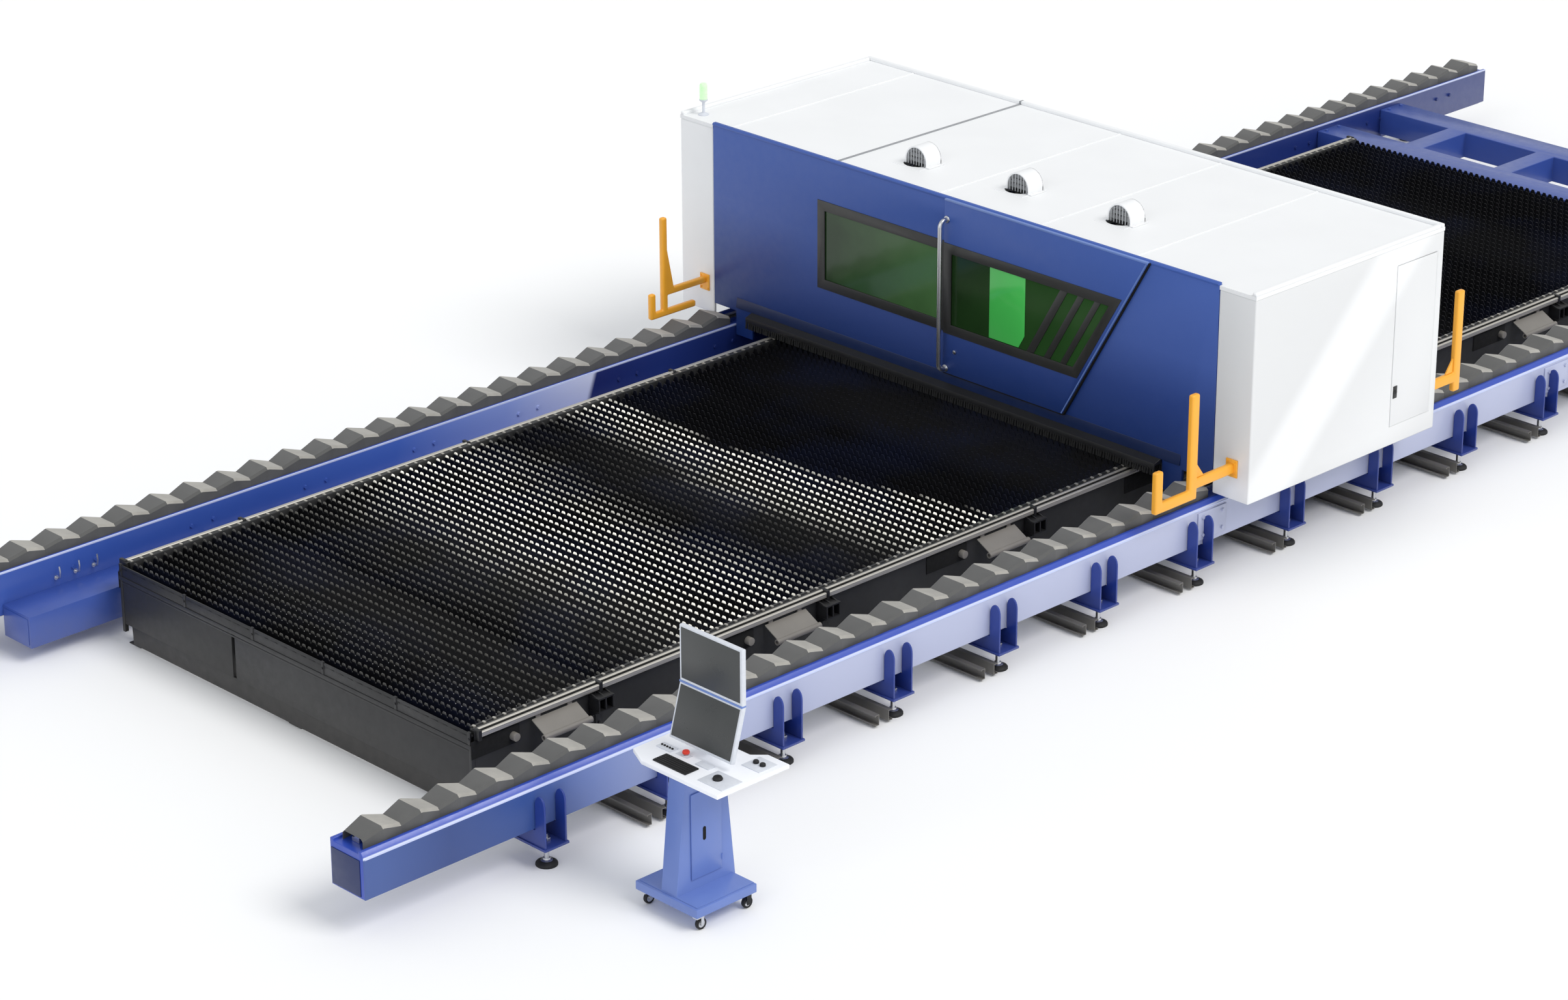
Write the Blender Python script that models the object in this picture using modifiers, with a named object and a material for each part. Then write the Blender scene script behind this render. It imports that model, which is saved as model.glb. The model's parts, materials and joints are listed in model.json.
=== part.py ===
"""Ground-rail gantry machine for cutting flat sheet: a slat table between two rail beams, a covered gantry
that travels along them on guide rails, and a control console on casters beside the front end.

Metres, +Z up. The origin is on the floor, under the table's centre foot. X runs across the table, +Y along
the rails away from the loading end. The gantry rests just past the middle, as parked.
"""

import math

import bmesh
import bpy
from mathutils import Matrix, Vector

# ---------------------------------------------------------------- driving dimensions

TOUCH = 0.0003  # gap between faces that rest on each other
FIT_GAP = 0.003  # gap round a panel, door or pane that sits in a hole

# Table: bays of equal length on both sides of the origin, and a short nose bay at the loading end
TABLE_HALF_WIDTH = 1.95
BAY_LENGTH = 2.152
BAY_COUNT = 6
NOSE_LENGTH = 1.081
TABLE_TOP = 0.643
SIDE_PLATE = 0.05
SIDE_PLATE_DROP = 0.003  # side plate's top below the slats'
TABLE_SKIRT_BOTTOM = 0.28
CROSS_WALL = 0.02
LEG_SIDE = 0.08
LEG_PAD_SIDE = 0.14
LEG_PAD_THICKNESS = 0.01
LEG_LAP = 0.05  # leg's head up the cross wall

# Slats, standing on edge across the table and held in two comb bars
SLAT_PITCH = 0.088
SLAT_HEIGHT = 0.09
SLAT_THICKNESS = 0.006
COMB_BAR = 0.02  # thickness
COMB_SIDE_GAP = 0.005
COMB_PROUD = 0.001  # comb bar's top above the slats
COMB_DROP = 0.02  # comb bar's foot below the slats
NOSE_PANEL_DEPTH = 0.03
NOSE_PANEL_BOTTOM = 0.003
NOSE_PANEL_FLARE = 0.06  # height over which the panel gains its depth
NOSE_PANEL_FOOT = 0.006  # depth at the floor
NOSE_LIP = (0.008, 0.015, 0.005)  # how far proud, how high, and the slope below it
NOSE_PANEL_TOP = 0.54

# Rail beams
SIDE_GAP = 0.4785  # table side to the beam's inner face
BEAM_WIDTH = 0.333
BEAM_HEIGHT = 0.3275
BEAM_BOTTOM = 0.289
BEAM_LENGTH = 18.26
BEAM_WALL = 0.012
BEAM_LIP_INNER = 0.03
BEAM_LIP_OUTER = 0.025
BEAM_BEVEL = (0.03, 0.045)
SEAT_DEPTH = 0.018

# Feet under the beams
FOOT_PITCH = 1.067
FOOT_LEAD = 0.103  # one foot stands this far in front of the table
FIRST_FOOT_MARGIN = 1.0
LAST_FOOT_MARGIN = 0.3
GUSSET_SPACING = 0.175
GUSSET_THICKNESS = 0.014
GUSSET_REACH = 0.10
GUSSET_RISE = 0.245
GUSSET_DROP = 0.12
GUSSET_PROUD = 0.004  # gusset's inner edge off the beam's face
GUSSET_SHOULDER = 0.17
GUSSET_INSET = 0.07
SOLE_THICKNESS = 0.012
SOLE_INSET = 0.02
SOLE_END_GAP = 0.05
FOOT_PLATE = (0.33, 0.21, 0.018)
FOOT_PLATE_PAST = 0.01  # past the gusset's tip
FOOT_PLATE_RISE = 0.0054  # top above the gusset's lower edge
STEM_RADIUS = 0.017
PAD_RADIUS = 0.075
PAD_HEIGHT = 0.045

# Guide rail with its rack, and the drive pinion
RAIL_WIDTH = 0.045
RAIL_HEIGHT = 0.045
RACK_WIDTH = 0.025
RACK_HEIGHT = 0.03
RAIL_END_SETBACK = 0.09
PINION_RADIUS = 0.032
PINION_LIFT = 0.004
PINION_GAP = 0.0008
PINION_SHAFT_RADIUS = 0.01

# Bellows over the guide rails
BELLOWS_HEIGHT = 0.12
BELLOWS_WALL = 0.012
BELLOWS_SIDE_GAP = 0.004
BELLOWS_END_SETBACK = 0.06

# Slag drawers and their floor channels
CHANNEL_WIDTH = 0.04
CHANNEL_HEIGHT = 0.08
CHANNEL_PAIR_SPACING = 0.13
CHANNEL_SETBACK = 0.18  # middle of a channel pair, in front of its foot
CHANNEL_CLEAR_OF_LEG = 0.02
CHANNEL_REAR_GAP = 0.1  # table's rear end behind the last pair's foot
CHANNEL_REACH = 0.09  # past the beam's outer face
TIE_THICKNESS = 0.02
TIE_WIDTH = 0.05
TIE_PLACES = (-0.87, 0.87)  # shares of the table's half width
DRAWER_CLEAR_OF_FOOT = 0.13
DRAWER_CLEAR_OF_CHANNEL = 0.015
DRAWER_TOP = 0.25
DRAWER_WALL = 0.008
DRAWER_END_GAPS = (0.15, 0.02)  # left and right, from the table's sides

# Exhaust duct along the left beam
DUCT_WIDTH = 0.328
DUCT_HEIGHT = 0.243
DUCT_BOTTOM = 0.13
DUCT_WALL = 0.008
DUCT_OVERRUN_FRONT = 0.72
DUCT_PORT = (0.40, 0.05)
DUCT_PORT_LIFT = 0.02  # above the table skirt's lower edge
DUCT_COLLAR = 0.012

# Ladder frame that ties the beams together behind the table
REAR_FRAME_GAP = 0.094
REAR_FRAME_DEPTH = 1.24
REAR_FRAME_RAIL = 0.30
REAR_FRAME_TOP = 0.57
REAR_FRAME_HEIGHT = 0.24
REAR_FRAME_STILES = 4
REAR_FRAME_STILE_WIDTH = 0.2

# Gantry
GANTRY_Y = 0.0965
GANTRY_DEPTH = 2.213
GANTRY_HEIGHT = 1.635  # from the covers' lower edge to the roof's top
COVER_OVERHANG = 0.301  # end cover past the beam's outer face
COVER_BEAM_GAP = 0.0285
COVER_WALL = 0.03
COLUMN_WIDTH_LEFT = 0.388
COLUMN_WIDTH_RIGHT = 0.348
PANEL_LIP = 0.02
PANEL_EDGE_ABOVE_TABLE = 0.127
PANEL_OVER_BELLOWS = 0.02
PANEL_LEG_DROP = 0.0865
PANEL_LEG_WIDTH = 0.195
PANEL_LEG_CLEAR = 0.0135
SKIRT_THICKNESS = 0.02
SKIRT_CLEAR = 0.008
TRUCK_HEIGHT = 0.26
TRUCK_LENGTH = 1.5
TRUCK_WIDTH = 0.22
RUNNER_LENGTH = 0.2
RUNNER_WIDTH = 0.09
RUNNER_HEIGHT = 0.03
RUNNER_END_GAP = 0.05
RUNNER_LAP = 0.01
CROSSBEAM_DEPTH = 0.45
CROSSBEAM_HEIGHT = 0.42
CROSSBEAM_WALL = 0.02
CROSSBEAM_SETBACK = 0.05  # front face behind the gantry's middle
X_RAIL = (0.03, 0.025)
X_RAIL_INSET = 0.06
CARRIAGE_HALF_WIDTH = 0.2
CARRIAGE_DEPTH = 0.07
CARRIAGE_PAST = (0.02, 0.04)  # below and above the crossbeam
HEAD_TRAVEL = 0.15
HEAD_CLEAR = 0.03
HEAD_RADIUS = 0.06
HEAD_PLATE = (0.16, 0.03)  # width and thickness
HEAD_PLATE_GAPS = (0.01, 0.06)  # from the carriage's lower and upper ends
HEAD_STANDOFF = 0.025
HEAD_TOP_GAP = 0.12
NOZZLE_LENGTH = 0.13
NOZZLE_SPREAD = 0.036
NOZZLE_RADIUS = 0.008

# Windows and the sliding door in the front panel
WINDOW_LEFT = -1.46
WINDOW_BOTTOM = 1.19
WINDOW_TOP_GAP = 0.34  # below the roof's top, as are the next three
WINDOW_FRAME = 0.07
DOOR_EDGE = -0.035
DOOR_BOTTOM = 0.861
DOOR_SLANT = 0.5725  # sideways metres for each metre of height
DOOR_FOOT_RIGHT = 1.23
DOOR_THICKNESS = 0.028
DOOR_TOP_RISE = 0.008  # door's top above the roof's
DOOR_GAP = 0.0008
PANE_FOOT_RIGHT = 1.31
PANE_THICKNESS = 0.012
PANE_SETBACK = 0.006
HATCH_SIDES = (0.05, 0.60)  # the opening behind the door
HATCH_BOTTOM = 1.02
HATCH_TOP_GAP = 0.16
HANDLE_X = -0.005
HANDLE_STANDOFF = 0.08
HANDLE_RADIUS = 0.018
HANDLE_BOTTOM = 0.90
HANDLE_TOP_GAP = 0.15

# Roof, fans and beacon
ROOF_THICKNESS = 0.03
FAN_PLACES = ((-0.81, 0.48), (0.20, 0.57), (1.25, 0.57))  # X, and distance behind the gantry's front
HOOD_SIZE = (0.30, 0.28, 0.17)
HOOD_WALL = 0.018
HOOD_SILL = 0.006
IMPELLER_RADIUS = 0.115
IMPELLER_HEIGHT = 0.03
IMPELLER_BLADES = 5
IMPELLER_HUB = 0.04
IMPELLER_GAPS = (0.005, 0.004, 0.002)  # throat to rim, rim to blade, roof's underside to hub
BLADE = (0.044, 0.006)  # width and thickness
BLADE_PITCH = 18.0  # degrees
BLADE_ROOT = 0.02
BLADE_LIFT = 0.012
BEACON_INSET = (0.143, 0.13)
BEACON_HEIGHT = 0.27
BEACON_RADIUS = 0.034

# Trip bars at the gantry's corners
BUMPER_INSETS = (0.2825, 0.1625)  # left and right, from the gantry's ends
BUMPER_THICKNESS = 0.05
BUMPER_BAR = 0.08
BUMPER_FOOT = 0.78
BUMPER_POST_TOP = 1.61
BUMPER_POST_OUT = 0.42
BUMPER_TIP_OUT = 0.80
BUMPER_TIP_TOP = 1.11

# The left front trip bar, thinner than the others, with a heel that runs back below its arm
HEELED_BAR = 0.055
HEELED_FOOT = 0.72
HEELED_ARM = 0.895
HEELED_POST_TOP = 1.57
HEELED_POST_OUT = 0.44
HEELED_TIP_OUT = 0.575
HEELED_TIP_TOP = 0.94
HEEL_OUT = 0.13
HEELED_GUSSET = (0.07, 0.34)

# Service door in the right end cover
SERVICE_DOOR_WIDTH = 0.48
SERVICE_DOOR_TOP_GAP = 0.18  # below the roof's top
SERVICE_HINGE_PROUD = 0.002
SERVICE_DOOR_REAR_MARGIN = 0.073
SERVICE_DOOR_LIFT = 0.155

# Console
CONSOLE_GAP = 1.0935  # console's middle from the right beam's outer face
CONSOLE_Y = -7.336
BASE_SIZE = (0.57, 0.52)
BASE_BOTTOM = 0.11
BASE_TOP = 0.17
COLUMN_WIDTH = 0.145
COLUMN_FOOT = 0.51
COLUMN_HEAD = 0.34
COLUMN_HEAD_SHIFT = 0.02
TRAY_TOP = 1.02
TRAY_THICKNESS = 0.03
TRAY_REACH = (0.415, 0.445)  # left and right of the console's middle
TRAY_FRONT = 0.225
TRAY_REAR = 0.40
TRAY_STEP = (0.25, 0.08)
SCREEN_HALF_WIDTH = 0.285
SCREEN_THICKNESS = 0.035
LOWER_SCREEN_RUN = 0.10
LOWER_SCREEN_BOTTOM = 1.08
SCREEN_JOINT = 1.44
SCREEN_TOP = 1.83
SCREEN_Y = 0.146  # upper screen's face behind the console's middle
PIVOT_BACK = 0.02
PIVOT_HEIGHT = 1.11
ESTOP_PLACE = (-0.10, 0.02)
ESTOP_RADIUS = 0.025
CASTER_RADIUS = 0.04
CASTER_WIDTH = 0.03
CASTER_TRAIL = 0.028
CASTER_INSET = 0.045
CABINET_DOOR = (0.26, 0.25, 0.85)  # width, bottom, top
CABINET_DOOR_THICKNESS = 0.01
CABINET_WALL = 0.012
CABINET_HINGE_PROUD = 0.012
FORK_PLATE = (0.04, 0.006, 0.004)  # a fixed fork's width, thickness and gap to the wheel
SWIVEL_PLATE = (0.024, 0.004, 0.002)
FORK_REACH = 0.028  # fork's lower end above the floor
CROWN = (0.006, 0.022, 0.014)  # gap over the wheel, reach before the pivot, reach past the axle
POST = (0.11, 0.05, 0.05)  # the screens' post: width, depth and rise over the pivot
POST_GAP = 0.002
ARM = (0.10, 0.03, 0.028, 0.005)  # the screens' arm: width, height, start and gap to the post
SCREEN_SKEW = 0.008
ESTOP_LIFT = 0.008
ESTOP_HEIGHT = 0.03

# ---------------------------------------------------------------- sizes that follow

BEAM_INNER = TABLE_HALF_WIDTH + SIDE_GAP
BEAM_OUTER = BEAM_INNER + BEAM_WIDTH
BEAM_TOP = BEAM_BOTTOM + BEAM_HEIGHT
SEAT = BEAM_TOP - SEAT_DEPTH
BEAM_FRONT = -BEAM_LENGTH / 2
BEAM_REAR = BEAM_LENGTH / 2
TABLE_REAR = BAY_LENGTH * BAY_COUNT / 2
TABLE_FRONT = -TABLE_REAR - NOSE_LENGTH
SEAMS = [-TABLE_REAR + BAY_LENGTH * i for i in range(BAY_COUNT + 1)]
FIRST_FOOT = math.ceil((BEAM_FRONT + FIRST_FOOT_MARGIN - TABLE_FRONT + FOOT_LEAD) / FOOT_PITCH)
LAST_FOOT = math.floor((BEAM_REAR - LAST_FOOT_MARGIN - TABLE_FRONT + FOOT_LEAD) / FOOT_PITCH)
FEET = [TABLE_FRONT - FOOT_LEAD + FOOT_PITCH * i for i in range(FIRST_FOOT, LAST_FOOT + 1)]
RAIL_X = BEAM_INNER + (BEAM_LIP_INNER + BEAM_WIDTH - BEAM_BEVEL[0] - BEAM_LIP_OUTER) / 2
RAIL_TOP = SEAT + TOUCH + RAIL_HEIGHT
GANTRY_FRONT = GANTRY_Y - GANTRY_DEPTH / 2
GANTRY_REAR = GANTRY_Y + GANTRY_DEPTH / 2
GANTRY_HALF = BEAM_OUTER + COVER_OVERHANG
COVER_BOTTOM = BEAM_TOP + COVER_BEAM_GAP
ROOF_TOP = COVER_BOTTOM + GANTRY_HEIGHT
ROOF_BOTTOM = ROOF_TOP - ROOF_THICKNESS
WINDOW_TOP = ROOF_TOP - WINDOW_TOP_GAP
DOOR_TOP = ROOF_TOP + DOOR_TOP_RISE
HATCH = (*HATCH_SIDES, HATCH_BOTTOM, ROOF_TOP - HATCH_TOP_GAP)
HANDLE_SPAN = (HANDLE_BOTTOM, ROOF_TOP - HANDLE_TOP_GAP)
FANS = [(x, GANTRY_FRONT + setback) for x, setback in FAN_PLACES]
BUMPER_LEFT = -GANTRY_HALF + BUMPER_INSETS[0]
BUMPER_RIGHT = GANTRY_HALF - BUMPER_INSETS[1]
PANEL_LEFT = -GANTRY_HALF + COLUMN_WIDTH_LEFT + FIT_GAP
PANEL_RIGHT = GANTRY_HALF - COLUMN_WIDTH_RIGHT - FIT_GAP
PANEL_EDGE = TABLE_TOP + PANEL_EDGE_ABOVE_TABLE
BELLOWS_TOP = SEAT + BELLOWS_HEIGHT
BELLOWS_INNER = BEAM_INNER + BEAM_LIP_INNER + BELLOWS_SIDE_GAP
BELLOWS_OUTER = BEAM_OUTER - BEAM_BEVEL[0] - BEAM_LIP_OUTER - BELLOWS_SIDE_GAP
TRUCK_BOTTOM = RAIL_TOP + RUNNER_HEIGHT
TRUCK_TOP = TRUCK_BOTTOM + TRUCK_HEIGHT
CROSSBEAM_FRONT = GANTRY_Y + CROSSBEAM_SETBACK
CROSSBEAM_BOTTOM = TRUCK_TOP + TOUCH
NOZZLE_TIP = TABLE_TOP + HEAD_TRAVEL + HEAD_CLEAR
CONSOLE_X = BEAM_OUTER + CONSOLE_GAP
TRAY_BOTTOM = TRAY_TOP - TRAY_THICKNESS

PARTS = "sheet_cutting_gantry_machine"
CUTTERS = "cutters"

# ---------------------------------------------------------------- tools


def clear_scene():
    for thing in list(bpy.data.objects):
        bpy.data.objects.remove(thing, do_unlink=True)
    for name in (PARTS, CUTTERS):
        kept = bpy.data.collections.get(name) or bpy.data.collections.new(name)
        if name not in bpy.context.scene.collection.children:
            bpy.context.scene.collection.children.link(kept)


def paint(name, colour, roughness, metallic=0.0):
    """A Principled material, made once for each finish."""
    made = bpy.data.materials.get(name) or bpy.data.materials.new(name)
    made.use_nodes = True
    shader = made.node_tree.nodes["Principled BSDF"]
    shader.inputs["Base Color"].default_value = (*colour, 1.0)
    shader.inputs["Roughness"].default_value = roughness
    shader.inputs["Metallic"].default_value = metallic
    return made


def empty(name, place, parent=None):
    """A joint's frame: what moves with the joint is parented to it."""
    frame = bpy.data.objects.new(name, None)
    frame["place"] = tuple(place)
    frame.location = Vector(place) - (Vector(parent["place"]) if parent else Vector())
    frame.parent = parent
    bpy.data.collections[PARTS].objects.link(frame)
    return frame


def box(shape, low, high):
    made = bmesh.ops.create_cube(shape, size=1.0)["verts"]
    low, high = Vector(low), Vector(high)
    bmesh.ops.scale(shape, vec=high - low, verts=made)
    bmesh.ops.translate(shape, vec=(low + high) / 2, verts=made)


def cone(shape, low, high, radius, top_radius=None, segments=16):
    """A closed cylinder or cone from one end's centre to the other's."""
    low, high = Vector(low), Vector(high)
    turn = Vector((0, 0, 1)).rotation_difference(high - low).to_matrix().to_4x4()
    bmesh.ops.create_cone(
        shape,
        cap_ends=True,
        segments=segments,
        radius1=radius,
        radius2=radius if top_radius is None else top_radius,
        depth=(high - low).length,
        matrix=Matrix.Translation((low + high) / 2) @ turn,
    )


def slab(shape, axis, low, high, *outlines):
    """Outlines, the rim first and then its holes, made a plate that is square to the axis."""
    curve = bpy.data.curves.new("outline", "CURVE")
    curve.dimensions = "2D"
    curve.fill_mode = "BOTH"
    curve.extrude = (high - low) / 2
    for points in outlines:
        spline = curve.splines.new("POLY")
        spline.points.add(len(points) - 1)
        spline.use_cyclic_u = True
        for point, (u, v) in zip(spline.points, points):
            point.co = (u, v, 0.0, 1.0)
    holder = bpy.data.objects.new("outline", curve)
    bpy.context.scene.collection.objects.link(holder)
    mesh = bpy.data.meshes.new_from_object(holder.evaluated_get(bpy.context.evaluated_depsgraph_get()))
    bpy.data.objects.remove(holder, do_unlink=True)
    flat = bmesh.new()
    flat.from_mesh(mesh)
    bmesh.ops.remove_doubles(flat, verts=flat.verts, dist=1e-5)
    turns = {
        "X": Matrix(((0, 0, 1, 0), (1, 0, 0, 0), (0, 1, 0, 0), (0, 0, 0, 1))),
        "Y": Matrix(((1, 0, 0, 0), (0, 0, -1, 0), (0, 1, 0, 0), (0, 0, 0, 1))),
        "Z": Matrix.Identity(4),
    }
    middle = Vector([(low + high) / 2 if name == axis else 0.0 for name in "XYZ"])
    bmesh.ops.transform(flat, matrix=Matrix.Translation(middle) @ turns[axis], verts=flat.verts)
    flat.to_mesh(mesh)
    flat.free()
    shape.from_mesh(mesh)
    bpy.data.meshes.remove(mesh)


def rectangle(u0, u1, v0, v1):
    return [(u0, v0), (u1, v0), (u1, v1), (u0, v1)]


def add_object(name, shape, collection, place=(0, 0, 0)):
    mesh = bpy.data.meshes.new(name)
    bmesh.ops.translate(shape, vec=-Vector(place), verts=shape.verts)
    shape.to_mesh(mesh)
    shape.free()
    made = bpy.data.objects.new(name, mesh)
    made.location = place
    bpy.data.collections[collection].objects.link(made)
    return made


def part(name, build, finish, place=(0, 0, 0), parent=None, join=None, cut=None):
    """One node. build, join and cut each draw into a bmesh in world coordinates: join's shapes are
    united with build's and cut's are taken away."""
    shape = bmesh.new()
    build(shape)
    made = add_object(name, shape, PARTS, place)
    made.data.materials.append(finish)
    for draw, operation in ((join, "UNION"), (cut, "DIFFERENCE")):
        if draw is None:
            continue
        shape = bmesh.new()
        draw(shape)
        tool = add_object(f"{name}_{operation.lower()}", shape, CUTTERS)
        tool.hide_render = True
        tool.display_type = "WIRE"
        boolean = made.modifiers.new(operation.lower(), "BOOLEAN")
        boolean.operation = operation
        boolean.solver = "EXACT"
        boolean.use_self = True
        boolean.object = tool
    if parent:
        made.parent = parent
        made.location = Vector(place) - Vector(parent["place"])
    return made


def smooth(made, angle=35.0):
    made.data.shade_smooth()
    made.data.set_sharp_from_angle(angle=math.radians(angle))


def mirrored(outline, side):
    """An outline drawn for the right side (side 1), or its image for the left (side -1)."""
    return [(side * u, v) for u, v in outline][:: 1 if side > 0 else -1]


def span(side, near, far):
    """An interval drawn for the right side, low end first."""
    return sorted((side * near, side * far))


# ---------------------------------------------------------------- finishes

BLUE = paint("blue_paint", (0.05, 0.09, 0.37), 0.38)
WHITE = paint("white_cover", (0.82, 0.83, 0.84), 0.42)
BLACK = paint("black_steel", (0.012, 0.012, 0.015), 0.55)
SLAT_STEEL = paint("slat_steel", (0.02, 0.02, 0.025), 0.45, 0.6)
DARK_GREY = paint("dark_grey_steel", (0.045, 0.045, 0.046), 0.5)
BELLOWS_GREY = paint("bellows_fabric", (0.32, 0.32, 0.30), 0.8)
GLASS = paint("laser_window", (0.02, 0.09, 0.03), 0.12)
YELLOW = paint("yellow_paint", (0.93, 0.45, 0.04), 0.4)
BRIGHT_STEEL = paint("bright_steel", (0.6, 0.6, 0.62), 0.3, 1.0)
RUBBER = paint("black_rubber", (0.015, 0.015, 0.015), 0.7)
CONSOLE_WHITE = paint("tray_white", (0.75, 0.75, 0.75), 0.45)
SCREEN_GREY = paint("screen_grey", (0.08, 0.08, 0.085), 0.3)
RED = paint("red_button", (0.7, 0.04, 0.02), 0.35)
LAMP = paint("beacon_lens", (0.35, 0.6, 0.4), 0.3)

# ---------------------------------------------------------------- rail beams and their feet


def make_beam(side, name):
    rim = [
        (BEAM_INNER, BEAM_BOTTOM),
        (BEAM_OUTER, BEAM_BOTTOM),
        (BEAM_OUTER, BEAM_TOP - BEAM_BEVEL[1]),
        (BEAM_OUTER - BEAM_BEVEL[0], BEAM_TOP),
        (BEAM_OUTER - BEAM_BEVEL[0] - BEAM_LIP_OUTER, BEAM_TOP),
        (BEAM_OUTER - BEAM_BEVEL[0] - BEAM_LIP_OUTER, SEAT),
        (BEAM_INNER + BEAM_LIP_INNER, SEAT),
        (BEAM_INNER + BEAM_LIP_INNER, BEAM_TOP),
        (BEAM_INNER, BEAM_TOP),
    ]

    def hollow(shape):
        left, right = span(side, BEAM_INNER + BEAM_WALL, BEAM_OUTER - BEAM_WALL)
        roof = min(SEAT, BEAM_TOP - BEAM_BEVEL[1]) - BEAM_WALL
        box(
            shape,
            (left, BEAM_FRONT + BEAM_WALL, BEAM_BOTTOM + BEAM_WALL),
            (right, BEAM_REAR + BEAM_WALL, roof),
        )

    part(name, lambda shape: slab(shape, "Y", BEAM_FRONT, BEAM_REAR, mirrored(rim, side)), BLUE, cut=hollow)


def make_foot_row(side, name):
    """A sole plate under the beam with a foot at each bolt-down place: two gussets that clasp the beam's
    outer face, a foot plate, a threaded stem and a round pad."""
    sole_top = BEAM_BOTTOM - TOUCH
    face = BEAM_OUTER + GUSSET_PROUD
    tip = BEAM_OUTER + GUSSET_REACH
    low = BEAM_BOTTOM - GUSSET_DROP
    shoulder = BEAM_BOTTOM + GUSSET_SHOULDER
    peak = BEAM_BOTTOM + GUSSET_RISE
    pocket = sole_top - SOLE_THICKNESS / 2
    gusset = [
        (BEAM_INNER + GUSSET_INSET, pocket),
        (BEAM_INNER + GUSSET_INSET, low),
        (tip, low),
        (tip, shoulder),
        ((face + tip) / 2, peak),
        (face, shoulder),
        (face, pocket),
    ]
    pad_x = side * BEAM_OUTER

    def sole(shape):
        left, right = span(side, BEAM_INNER + SOLE_INSET, BEAM_OUTER - SOLE_INSET)
        box(
            shape,
            (left, BEAM_FRONT + SOLE_END_GAP, sole_top - SOLE_THICKNESS),
            (right, BEAM_REAR - SOLE_END_GAP, sole_top),
        )

    def feet(shape):
        for y in FEET:
            for shift in (-GUSSET_SPACING / 2, GUSSET_SPACING / 2):
                slab(
                    shape,
                    "Y",
                    y + shift - GUSSET_THICKNESS / 2,
                    y + shift + GUSSET_THICKNESS / 2,
                    mirrored(gusset, side),
                )
            outer = tip + FOOT_PLATE_PAST
            left, right = span(side, outer - FOOT_PLATE[0], outer)
            box(
                shape,
                (left, y - FOOT_PLATE[1] / 2, low + FOOT_PLATE_RISE - FOOT_PLATE[2]),
                (right, y + FOOT_PLATE[1] / 2, low + FOOT_PLATE_RISE),
            )
            cone(shape, (pad_x, y, PAD_HEIGHT * 0.6), (pad_x, y, low), STEM_RADIUS, segments=6)
            cone(shape, (pad_x, y, 0.0), (pad_x, y, PAD_HEIGHT), PAD_RADIUS, PAD_RADIUS * 0.6, 8)

    part(name, sole, BLUE, join=feet)


def make_guide_rail(side, name):
    """A profile guide rail with the drive rack along its inner side."""
    low = SEAT + TOUCH
    rim = [
        (RAIL_X - RAIL_WIDTH / 2 - RACK_WIDTH, low),
        (RAIL_X + RAIL_WIDTH / 2, low),
        (RAIL_X + RAIL_WIDTH / 2, low + RAIL_HEIGHT),
        (RAIL_X - RAIL_WIDTH / 2, low + RAIL_HEIGHT),
        (RAIL_X - RAIL_WIDTH / 2, low + RACK_HEIGHT),
        (RAIL_X - RAIL_WIDTH / 2 - RACK_WIDTH, low + RACK_HEIGHT),
    ]
    start, end = BEAM_FRONT + RAIL_END_SETBACK, BEAM_REAR - RAIL_END_SETBACK
    part(name, lambda shape: slab(shape, "Y", start, end, mirrored(rim, side)), BRIGHT_STEEL)


def make_bellows(side, name, start, end):
    rim = [
        (BELLOWS_INNER, SEAT + TOUCH),
        (BELLOWS_INNER + BELLOWS_WALL, SEAT + TOUCH),
        (BELLOWS_INNER + BELLOWS_WALL, BELLOWS_TOP - BELLOWS_WALL),
        (BELLOWS_OUTER - BELLOWS_WALL, BELLOWS_TOP - BELLOWS_WALL),
        (BELLOWS_OUTER - BELLOWS_WALL, SEAT + TOUCH),
        (BELLOWS_OUTER, SEAT + TOUCH),
        (BELLOWS_OUTER, BELLOWS_TOP),
        (BELLOWS_INNER, BELLOWS_TOP),
    ]
    part(name, lambda shape: slab(shape, "Y", start, end, mirrored(rim, side)), BELLOWS_GREY)


def make_rail_lines():
    for side, hand in ((-1, "left"), (1, "right")):
        make_beam(side, f"{hand}_rail_beam")
        make_foot_row(side, f"{hand}_foot_row")
        make_guide_rail(side, f"{hand}_guide_rail")
        make_bellows(
            side, f"bellows_front_{hand}", BEAM_FRONT + BELLOWS_END_SETBACK, GANTRY_FRONT - FIT_GAP
        )
        make_bellows(side, f"bellows_rear_{hand}", GANTRY_REAR + FIT_GAP, BEAM_REAR - BELLOWS_END_SETBACK)


# ---------------------------------------------------------------- table


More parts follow.
